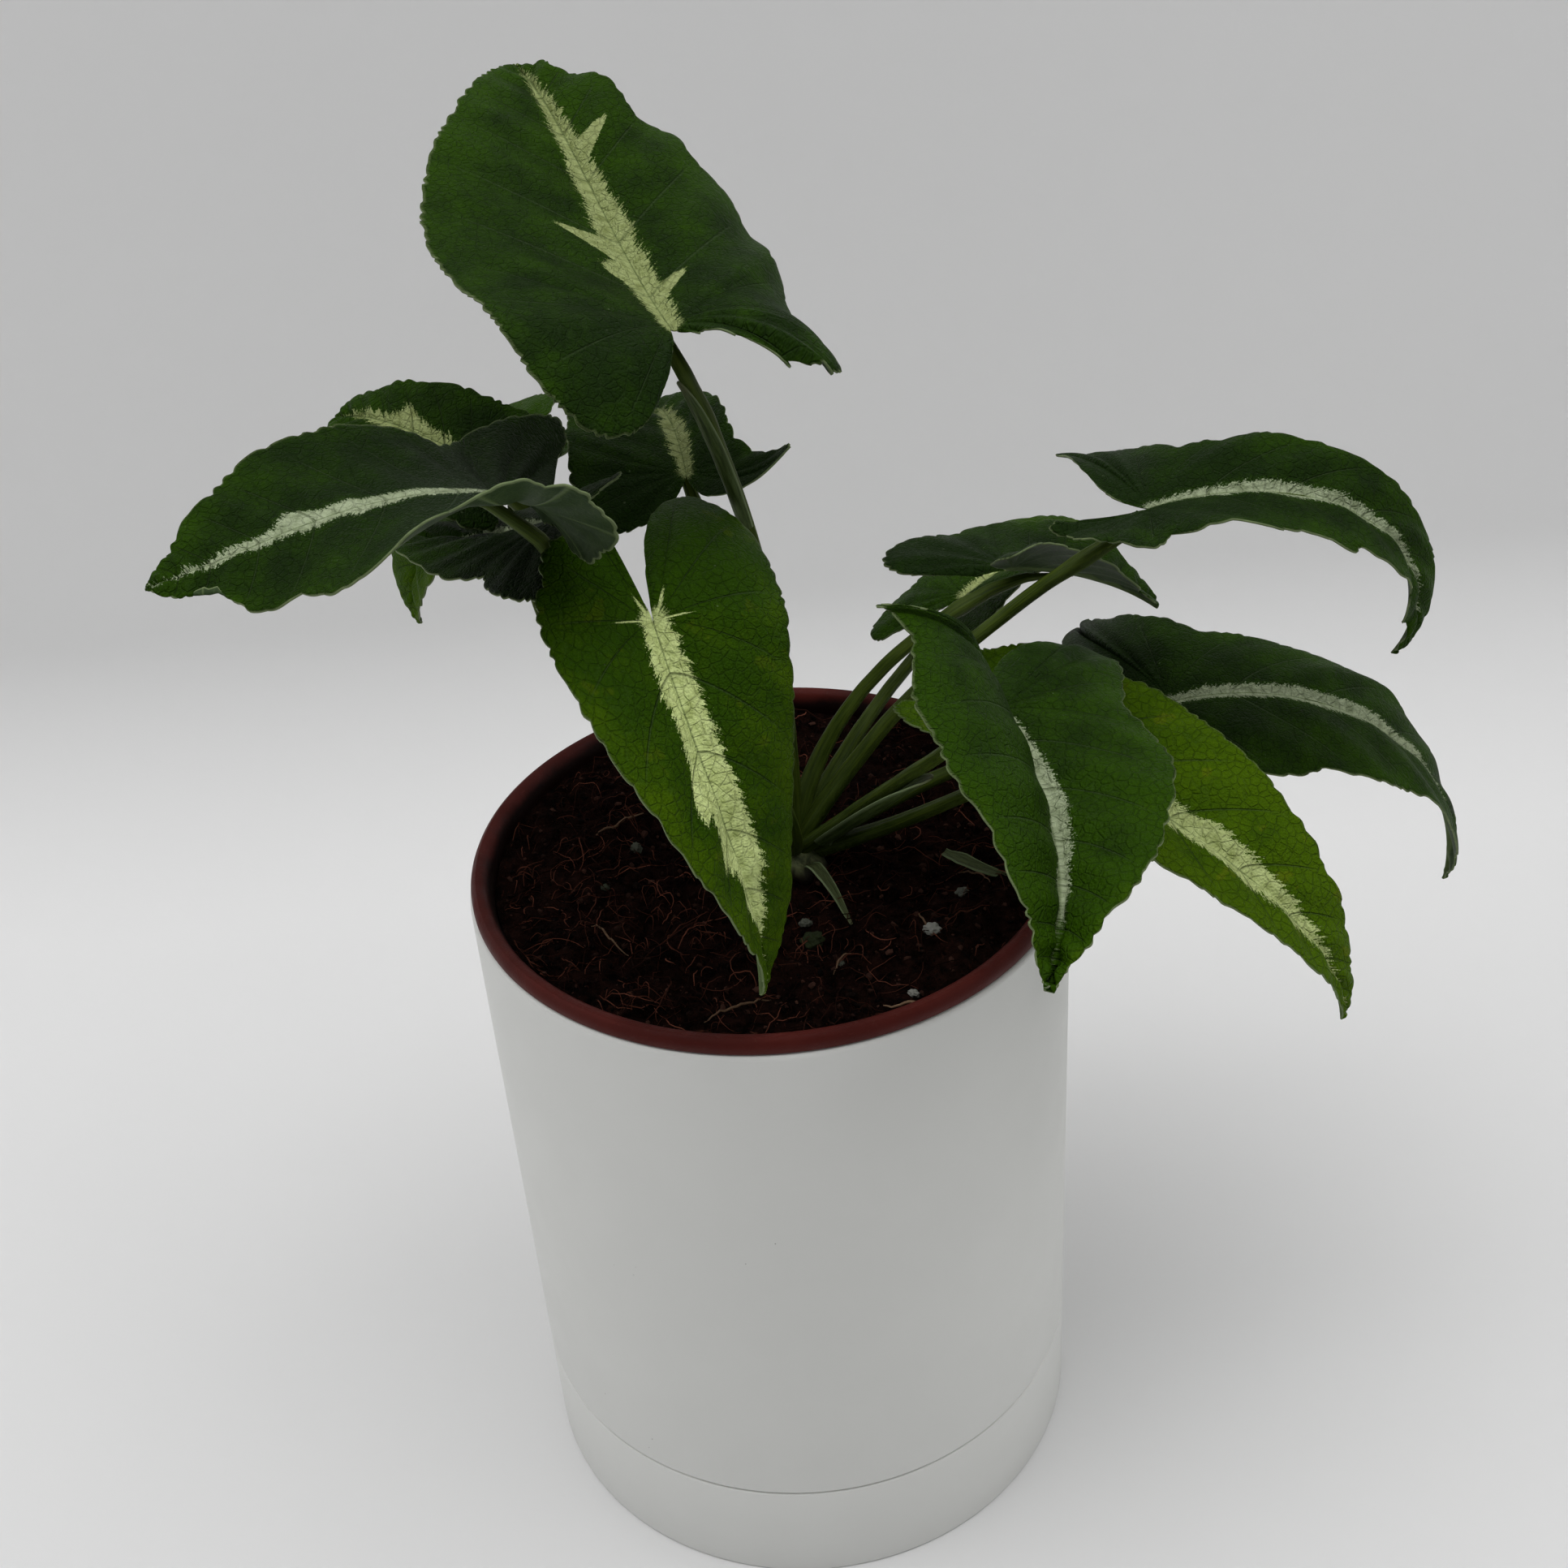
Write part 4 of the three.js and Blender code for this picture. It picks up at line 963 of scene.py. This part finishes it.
def make_stalk(leaf, sizes):
    rows, columns = 110, 22
    path, length, top_share = stalk_path(leaf, rows + 1, sizes.stalk_top / MM)
    sides, uppers = frames_along(path, np.array([0, 0, 1.0]) if leaf["rise"] < 75 else np.array([0, 1.0, 0]))
    base, top = sizes.stalk_base / MM, sizes.stalk_top / MM
    share = np.linspace(0, 1, rows + 1)
    taper = np.clip(share / 0.45, 0, 1)
    radius = base + (top - base) * (1 - (1 - taper) ** 2)
    radius = np.where(share > top_share, top * (1 - 0.85 * (share - top_share) / (1 - top_share)), radius)
    flatness = 1 - 0.38 * np.clip(1 - share / 0.35, 0, 1)
    knee = 1 + 0.22 * np.exp(-((share - 0.9 * top_share) / 0.03) ** 2)
    sway = 0.12 * ripple(share * 9, leaf["heading"] * 0.13)

    def place(u, v):
        row = np.round(v * rows).astype(int)
        angle = 2 * math.pi * u
        channel = 1 - 0.22 * np.exp(-((np.abs(u - 0.25)) / 0.07) ** 2)
        wide = radius[row] * channel * knee[row]
        points = path[row] + sides[row] * (wide * np.cos(angle))[:, None]
        points = points + uppers[row] * (wide * flatness[row] * np.sin(angle) + sway[row])[:, None]
        fields = dict(stalk_place=np.stack([u * 6.3, share[row] * length, share[row]], 1))
        return points * MM, fields

    piece = grid_piece("petiole_" + leaf["name"], columns, rows, place)
    weld(piece, 5e-6)
    close_ends(piece)
    face_out(piece)
    smooth(piece, 60)
    return piece


def close_ends(piece):
    select_only(piece)
    bpy.ops.object.mode_set(mode="EDIT")
    bpy.ops.mesh.select_mode(type="EDGE")
    bpy.ops.mesh.select_all(action="DESELECT")
    bpy.ops.mesh.select_non_manifold()
    bpy.ops.mesh.fill_holes(sides=0)
    bpy.ops.object.mode_set(mode="OBJECT")


SHEATHS = [
    dict(name="sheath_top", leaf="top", start=0.62, end=0.93, wrap=200, inner=1.4, dry=False),
    dict(name="sheath_right_front", leaf="right_front", start=0.04, end=0.6, wrap=190, inner=2.3, dry=False),
    dict(name="sheath_lance", line=[(6, -1, 3), (10, -2, 9), (18, -3, 17), (27, -4, 25)], wrap=170, inner=2.4,
         dry=False),
    dict(name="sheath_dried", line=[(3, -5, 3), (5, -9, 5), (8, -15, 4), (11, -24, 2)], wrap=130, inner=1.6,
         dry=True),
    dict(name="bract_small", line=[(31, -7, 5), (37, -11, 4), (44, -14, 3)], wrap=120, inner=2.2, dry=True),
]


def make_sheath(sheath):
    rows, columns = 60, 16
    if "leaf" in sheath:
        leaf = next(item for item in LEAVES if item["name"] == sheath["leaf"])
        first, start, middle, end, up = stalk_ends(leaf)
        path = bezier(start, middle, end, np.linspace(sheath["start"], sheath["end"], rows + 1))
    else:
        path = smooth_curve(np.array(sheath["line"], float) + np.array(CROWN) / MM, np.linspace(0, 1, rows + 1))
    sides, uppers = frames_along(path, np.array([0, 0, 1.0]))
    seed = len(sheath["name"]) * 1.7

    def place(u, v):
        row = np.round(v * rows).astype(int)
        share = v
        arc = math.radians(sheath["wrap"]) * np.sqrt(np.clip(1 - 0.995 * share ** 3, 0, 1))
        if "line" in sheath:
            arc = math.radians(sheath["wrap"]) * (1.02 - share) ** 0.7 * np.clip(share / 0.3, 0.25, 1) ** 0.5
        radius = sheath["inner"] * (1 + 0.25 * share)
        angle = (u - 0.5) * arc
        crimp = 0.12 * np.array([noise.noise(Vector((a * 3, s * 9, seed))) for a, s in zip(u, share)])
        wide = radius + crimp
        points = path[row] + sides[row] * (wide * np.sin(angle))[:, None]
        points = points - uppers[row] * (wide * np.cos(angle))[:, None]
        fields = dict(stalk_place=np.stack([(u - 0.5) * 2, share * 40, share], 1))
        return points * MM, fields

    piece = grid_piece(sheath["name"] + "_skin", columns, rows, place)
    apply_modifier(piece, "SOLIDIFY", thickness=0.35 * MM, offset=0.0)
    face_out(piece)
    smooth(piece, 60)
    return piece


def make_crown():
    """A low mound of old leaf bases."""
    rows, columns = 40, 72

    def place(u, v):
        angle = 2 * math.pi * u
        lean = v * math.pi
        ribs = 1 + 0.10 * np.sin(angle * 9 + 2 * np.sin(lean * 2)) * np.sin(lean)
        radius = CROWN_RADIUS * np.sin(lean) * ribs
        height = np.cos(lean) * (CROWN_HIGH.z - CROWN.z) * (0.8 + 0.08 * np.sin(angle * 4 + 1) * np.sin(lean))
        points = np.stack([CROWN.x + radius * np.cos(angle), CROWN.y + radius * np.sin(angle), CROWN.z + height], 1)
        return points, {}

    piece = grid_piece("crown_bases", columns, rows, place)
    weld(piece)
    face_out(piece)
    smooth(piece, 60)
    return piece


# ------------------------------------------------------------------------------------------------
# Soil
# ------------------------------------------------------------------------------------------------


def soil_height(x, y, lumps):
    """Height of the soil's surface in metres at a place."""
    near = Vector((x * 90, y * 90, 3.7))
    fine = Vector((x * 340, y * 340, 9.1))
    grit = Vector((x * 900, y * 900, 4.4))
    high = 0.9 * noise.noise(near) + 0.55 * noise.noise(fine) + 0.30 * noise.noise(grit)
    inward = min(1.0, max(0.0, (SOIL_RADIUS - math.hypot(x, y)) / (2.5 * MM)))
    return SOIL_LEVEL - 0.4 * MM + lumps * high * (0.35 + 0.65 * inward)


def make_soil(sizes):
    rows, columns = 150, 260
    surface_share = 0.86

    def place(u, v):
        angle = 2 * math.pi * u
        surface = np.clip(v / surface_share, 0, 1)
        radius = SOIL_RADIUS * surface
        wall = np.clip((v - surface_share) / (0.98 - surface_share), 0, 1)
        narrow = 43 * MM - 1.5 * MM
        radius = radius + (narrow - SOIL_RADIUS) * wall
        radius = np.where(v > 0.98, narrow * (1 - v) / 0.02, radius)
        x, y = radius * np.cos(angle), radius * np.sin(angle)
        top = np.array([soil_height(a, b, sizes.lumps) for a, b in zip(x, y)])
        z = np.where(wall > 0, top + (SOIL_LOW.z - top) * wall, top)
        return np.stack([x, y, z], 1), {}

    piece = grid_piece("soil_bed", columns, rows, place)
    weld(piece)
    face_out(piece)
    smooth(piece, 80)
    return piece


def merge_copies(name, shape, faces, placements):
    """One mesh of many small shapes: shape points, faces, and (matrix, tint) for each copy."""
    shape = np.array(shape)
    every, tints = [], []
    for matrix, tint in placements:
        every.append(shape @ np.array(matrix.to_3x3()).T + np.array(matrix.translation))
        tints.append(np.full(len(shape), tint))
    count = len(shape)
    all_faces = [tuple(i + n * count for i in face) for n in range(len(placements)) for face in faces]
    mesh = bpy.data.meshes.new(name)
    mesh.from_pydata(np.vstack(every).tolist(), [], all_faces)
    piece = bpy.data.objects.new(name, mesh)
    bpy.context.scene.collection.objects.link(piece)
    tint = np.concatenate(tints)
    add_field(piece, "tint", np.stack([tint, tint, tint], 1))
    return piece


def crumb_shape(draws, detail):
    bpy.ops.object.select_all(action="DESELECT")
    bpy.ops.mesh.primitive_ico_sphere_add(subdivisions=detail, radius=1)
    ball = bpy.context.object
    points = coordinates(ball)
    points = points * np.array([1 + 0.35 * draws.uniform(-1, 1) for _ in points])[:, None]
    faces = [tuple(face.vertices) for face in ball.data.polygons]
    bpy.data.objects.remove(ball)
    return points, faces


def spot_on_soil(draws, edge=0.97):
    radius = SOIL_RADIUS * edge * math.sqrt(draws.random())
    angle = draws.uniform(0, 2 * math.pi)
    return radius * math.cos(angle), radius * math.sin(angle)


def make_crumbs(sizes):
    draws = random.Random(sizes.seed)
    points, faces = crumb_shape(draws, 1)
    placements = []
    for _ in range(sizes.crumbs):
        x, y = spot_on_soil(draws)
        size = MM * (0.25 + 0.75 * draws.random() ** 3)
        turn = Matrix.Rotation(draws.uniform(0, 6.28), 4, Vector((draws.random(), draws.random(), 1)))
        stretch = Matrix.Diagonal((size * draws.uniform(0.7, 1.5), size, size * draws.uniform(0.5, 0.9), 1))
        lift = Vector((x, y, soil_height(x, y, sizes.lumps) + 0.2 * size))
        placements.append((Matrix.Translation(lift) @ turn @ stretch, draws.random() ** 2.5))
    return merge_copies("soil_crumbs", points, faces, placements)


def thread(name, paths, radii, tints, sides=3):
    """Thin bent rods along paths, as one mesh, each narrowing to its ends."""
    points, faces, field = [], [], []
    for path, radius, tint in zip(paths, radii, tints):
        sideways, upward = frames_along(path, np.array([0.1, 0.2, 1.0]))
        start = len(points)
        last = len(path) - 1
        for i, centre in enumerate(path):
            thick = radius * (0.35 + 0.65 * math.sin(math.pi * (i + 0.6) / (last + 1.2)))
            for side in range(sides):
                angle = 2 * math.pi * side / sides
                points.append(centre + thick * (sideways[i] * math.cos(angle) + upward[i] * math.sin(angle)))
                field.append((tint, tint, tint))
        for i in range(last):
            for side in range(sides):
                a, b = start + i * sides + side, start + i * sides + (side + 1) % sides
                faces.append((a, b, b + sides, a + sides))
        faces.append(tuple(start + side for side in reversed(range(sides))))
        faces.append(tuple(start + last * sides + side for side in range(sides)))
    mesh = bpy.data.meshes.new(name)
    mesh.from_pydata([tuple(point) for point in points], [], faces)
    piece = bpy.data.objects.new(name, mesh)
    bpy.context.scene.collection.objects.link(piece)
    add_field(piece, "tint", np.array(field))
    face_out(piece)
    return piece


def wander(draws, x, y, length, steps, turn, lumps, lift):
    """A path that lies on the soil and turns by chance as it goes."""
    heading = draws.uniform(0, 2 * math.pi)
    bend_rate = draws.uniform(-turn, turn)
    hump = draws.uniform(0, lift)
    path = []
    for i in range(steps + 1):
        if math.hypot(x, y) > SOIL_RADIUS * 0.985:
            heading += math.pi / 2
        x += length / steps * math.cos(heading)
        y += length / steps * math.sin(heading)
        out = math.hypot(x, y)
        if out > SOIL_RADIUS * 0.985:
            x, y = x * SOIL_RADIUS * 0.985 / out, y * SOIL_RADIUS * 0.985 / out
        heading += bend_rate + draws.uniform(-turn, turn)
        z = soil_height(x, y, lumps) + 0.15 * MM + hump * math.sin(math.pi * i / steps)
        path.append(np.array([x, y, z]))
    return np.array(path)


def make_fibres(sizes):
    draws = random.Random(sizes.seed + 1)
    paths, radii, tints = [], [], []
    for _ in range(sizes.fibres):
        x, y = spot_on_soil(draws)
        if x > 10 * MM and draws.random() < 0.35:
            x = -x
        length = MM * (3 + 11 * draws.random() ** 2)
        paths.append(wander(draws, x, y, length, 8, 0.32, sizes.lumps, 1.8 * MM))
        radii.append(MM * draws.uniform(0.05, 0.14))
        tints.append(draws.random() ** 2.6)
    return thread("coir_fibres", paths, radii, tints)


ROOTS = [
    ((-15, -50), 14, 0.6, 0.25), ((18, -47), 13, -0.7, 0.3), ((30, -31), 10, 1.9, 0.2), ((-36, 12), 12, 0.4, 0.3),
    ((24, 8), 26, 0.15, 0.35), ((-28, -26), 11, 2.4, 0.2), ((43, -16), 9, 2.0, 0.2), ((10, -38), 8, 1.2, 0.2),
]


def make_roots(sizes):
    draws = random.Random(sizes.seed + 2)
    paths, radii, tints = [], [], []
    for (x, y), length, heading, radius in ROOTS:
        path = []
        x, y = x * MM, y * MM
        for i in range(17):
            x += length * MM / 16 * math.cos(heading)
            y += length * MM / 16 * math.sin(heading)
            heading += draws.uniform(-0.25, 0.3)
            z = soil_height(x, y, sizes.lumps) + 0.5 * MM + 0.8 * MM * math.sin(math.pi * i / 16)
            path.append(np.array([x, y, z]))
        paths.append(np.array(path))
        radii.append(radius * MM)
        tints.append(draws.uniform(0.4, 1.0))
    return thread("pale_roots", paths, radii, tints, 8)


GRAINS = [((30, -28), 2.2, 0.95), ((24.5, -45), 1.2, 1.0), ((6, -22), 1.3, 0.35), ((7, -27), 2.3, 0.05),
          ((37, -17), 1.4, 0.4), ((-27, 8), 1.4, 0.3), ((-33, -6), 1.1, 0.2), ((12, -34), 0.8, 0.3)]


def make_grains(sizes):
    draws = random.Random(sizes.seed + 3)
    points, faces = crumb_shape(draws, 3)
    placements = []
    for (x, y), size, tint in GRAINS:
        x, y, size = x * MM, y * MM, size * MM
        turn = Matrix.Rotation(draws.uniform(0, 6.28), 4, Vector((0.3, 0.2, 1)))
        stretch = Matrix.Diagonal((size, size * draws.uniform(0.7, 0.95), size * 0.6, 1))
        lift = Vector((x, y, soil_height(x, y, sizes.lumps) + 0.35 * size))
        placements.append((Matrix.Translation(lift) @ turn @ stretch, tint))
    piece = merge_copies("soil_grains", points, faces, placements)
    apply_modifier(piece, "SUBSURF", levels=1, render_levels=1)
    select_only(piece)
    bpy.ops.object.shade_smooth()
    return piece


# ------------------------------------------------------------------------------------------------
# Stage
# ------------------------------------------------------------------------------------------------

EYE = Vector((0.0, -0.3304, 0.394))
EYE_YAW, EYE_PITCH, EYE_ROLL = (math.radians(angle) for angle in (0.72, 34.42, -4.42))


def camera_matrix():
    """Where the camera stands and how it is turned: yaw, then down, then rolled about its line of sight."""
    ahead = Vector((math.sin(EYE_YAW) * math.cos(EYE_PITCH), math.cos(EYE_YAW) * math.cos(EYE_PITCH),
                    -math.sin(EYE_PITCH)))
    right = Vector((math.cos(EYE_YAW), -math.sin(EYE_YAW), 0))
    up = right.cross(ahead)
    side = right * math.cos(EYE_ROLL) + up * math.sin(EYE_ROLL)
    top = up * math.cos(EYE_ROLL) - right * math.sin(EYE_ROLL)
    turn = Matrix((side, top, -ahead)).transposed().to_4x4()
    return Matrix.Translation(EYE) @ turn


def make_sweep():
    """A pale paper sweep: flat under the pot, then curving up behind it."""
    rows, columns = 720, 8
    flat_end, curve_radius, high = 0.185, 0.07, 1.3

    def place(u, v):
        x = (u - 0.5) * 5.0
        run = -1.8 + v * 3.6
        over = run - flat_end
        quarter = curve_radius * math.pi / 2
        angle = np.clip(over / curve_radius, 0, math.pi / 2)
        y = np.where(over <= 0, run, flat_end + curve_radius * np.sin(angle))
        z = np.where(over <= 0, 0.0, curve_radius * (1 - np.cos(angle)))
        z = np.where(over > quarter, np.minimum(curve_radius + (over - quarter), high + curve_radius), z)
        return np.stack([x, y, z - 0.0002], 1), {}

    piece = grid_piece("paper_sweep", columns, rows, place)
    select_only(piece)
    bpy.ops.object.shade_smooth()
    finish = Finish("pale paper", roughness=0.9, specular=0.1)
    where = finish.place()
    cloud = finish.noise(where, 3.0, 3)
    finish.colour(finish.mix(finish.ramp(cloud, 0.3, 0.7), (0.785, 0.785, 0.785), (0.80, 0.80, 0.80)))
    finish.bump(finish.noise(where, 900, 3), 0.00005, 0.3)
    piece.data.materials.append(finish.material)


def area_light(name, place, aim, size, power, colour=(1, 1, 1)):
    data = bpy.data.lights.new(name, "AREA")
    data.shape = "RECTANGLE"
    data.size, data.size_y = size
    data.energy = power
    data.color = colour
    lamp = bpy.data.objects.new(name, data)
    lamp.location = place
    lamp.rotation_euler = (Vector(aim) - Vector(place)).to_track_quat("-Z", "Y").to_euler()
    bpy.context.scene.collection.objects.link(lamp)


def make_stage(sizes):
    make_sweep()
    area_light("overhead softbox", (0.0, 0.0, 1.4), (0, 0, 0), (1.9, 1.3), sizes.key)
    for name, side in (("left light", -1), ("right light", 1)):
        area_light(name, (1.2 * side, 0.05, 0.7), (0, 0.05, 0.1), (1.5, 1.1), sizes.sides)
    world = bpy.data.worlds.new("studio")
    bpy.context.scene.world = world
    world.use_nodes = True
    sky = world.node_tree.nodes["Background"]
    sky.inputs["Color"].default_value = (1.0, 1.0, 1.0, 1.0)
    sky.inputs["Strength"].default_value = sizes.sky
    data = bpy.data.cameras.new("camera")
    data.sensor_width = 36.0
    data.lens = sizes.lens
    camera = bpy.data.objects.new("camera", data)
    camera.matrix_world = camera_matrix()
    bpy.context.scene.collection.objects.link(camera)
    bpy.context.scene.camera = camera
    bpy.context.scene.view_settings.view_transform = "Standard"


# ------------------------------------------------------------------------------------------------
# Operators
# ------------------------------------------------------------------------------------------------


class PLANT_OT_pots(bpy.types.Operator):
    """Make the cover pot, the drip tray and the nursery pot"""
    bl_idname = "plant.pots"
    bl_label = "Pots"

    def execute(self, context):
        sizes = context.scene.plant_pots
        glaze = white_glaze(tuple(sizes.glaze))
        finish_piece(make_cover_pot(sizes), glaze, "white_glaze", "cover_pot")
        finish_piece(make_drip_tray(sizes), glaze, "white_glaze", "drip_tray")
        plastic = nursery_plastic(tuple(sizes.plastic))
        finish_piece(make_nursery_pot(sizes), plastic, "terracotta_plastic", "nursery_pot")
        return {"FINISHED"}


class PLANT_OT_soil(bpy.types.Operator):
    """Make the soil bed with its crumbs, fibres, roots and grains"""
    bl_idname = "plant.soil"
    bl_label = "Soil"

    def execute(self, context):
        sizes = context.scene.plant_soil
        finish_piece(make_soil(sizes), soil_body(), "soil", "soil")
        crumbs = tinted("crumbs", (0.0014, 0.0009, 0.0007), (0.070, 0.032, 0.023), 0.0003)
        finish_piece(make_crumbs(sizes), crumbs, "soil")
        coir = tinted("coir", (0.004, 0.0015, 0.001), (0.17, 0.058, 0.036), 0.0001)
        finish_piece(make_fibres(sizes), coir, "soil")
        roots = tinted("root skin", (0.07, 0.036, 0.022), (0.22, 0.14, 0.085), 0.0001, 0.7)
        finish_piece(make_roots(sizes), roots, "soil")
        grains = tinted("perlite", (0.018, 0.026, 0.008), (0.30, 0.30, 0.27), 0.0004)
        finish_piece(make_grains(sizes), grains, "soil")
        return {"FINISHED"}


class PLANT_OT_crown(bpy.types.Operator):
    """Make the crown of old leaf bases"""
    bl_idname = "plant.crown"
    bl_label = "Crown"

    def execute(self, context):
        finish_piece(make_crown(), crown_skin(), "stalk", "crown")
        return {"FINISHED"}


class PLANT_OT_leaves(bpy.types.Operator):
    """Make the leaf blades"""
    bl_idname = "plant.leaves"
    bl_label = "Leaf blades"

    def execute(self, context):
        sizes = context.scene.plant_leaves
        for leaf in LEAVES:
            slot = LEAF_SLOTS.get(leaf["name"], "leaf_dark")
            finish_piece(make_blade(leaf, sizes), None, slot, "blade_" + leaf["name"])
        return {"FINISHED"}


class PLANT_OT_stalks(bpy.types.Operator):
    """Make the stalks and the sheaths"""
    bl_idname = "plant.stalks"
    bl_label = "Stalks and sheaths"

    def execute(self, context):
        sizes = context.scene.plant_leaves
        skin = stalk_skin()
        for leaf in LEAVES:
            finish_piece(make_stalk(leaf, sizes), skin, "stalk", "stalk_" + leaf["name"])
        skins = {False: sheath_skin("fresh sheath", False), True: sheath_skin("dry sheath", True)}
        for sheath in SHEATHS:
            finish_piece(make_sheath(sheath), skins[sheath["dry"]], "sheath", sheath["name"])
        return {"FINISHED"}


class PLANT_OT_stage(bpy.types.Operator):
    """Make the paper sweep, the lights and the camera"""
    bl_idname = "plant.stage"
    bl_label = "Stage"

    def execute(self, context):
        make_stage(context.scene.plant_stage)
        return {"FINISHED"}


class PLANT_PT_panel(bpy.types.Panel):
    bl_idname = "PLANT_PT_panel"
    bl_label = "Potted plant"
    bl_space_type = "VIEW_3D"
    bl_region_type = "UI"
    bl_category = "Plant"

    def draw(self, context):
        for operator, group in STEPS:
            self.layout.operator(operator.bl_idname)
            sizes = getattr(context.scene, group, None)
            for name in sizes.__annotations__ if sizes else ():
                self.layout.prop(sizes, name)


STEPS = (
    (PLANT_OT_stage, "plant_stage"),
    (PLANT_OT_pots, "plant_pots"),
    (PLANT_OT_soil, "plant_soil"),
    (PLANT_OT_crown, ""),
    (PLANT_OT_leaves, "plant_leaves"),
    (PLANT_OT_stalks, ""),
)
GROUPS = {"plant_pots": PotSizes, "plant_leaves": LeafSizes, "plant_soil": SoilSizes, "plant_stage": StageSizes}
CLASSES = (*GROUPS.values(), *(operator for operator, _ in STEPS), PLANT_PT_panel)


def register():
    for item in CLASSES:
        bpy.utils.register_class(item)
    for name, group in GROUPS.items():
        setattr(bpy.types.Scene, name, bpy.props.PointerProperty(type=group))


def unregister():
    for name in GROUPS:
        delattr(bpy.types.Scene, name)
    for item in reversed(CLASSES):
        bpy.utils.unregister_class(item)


def main():
    register()
    bpy.ops.plant.stage()
    bpy.ops.plant.pots()
    bpy.ops.plant.soil()
    bpy.ops.plant.crown()
    bpy.ops.plant.leaves()
    bpy.ops.plant.stalks()


if __name__ == "__main__":
    main()
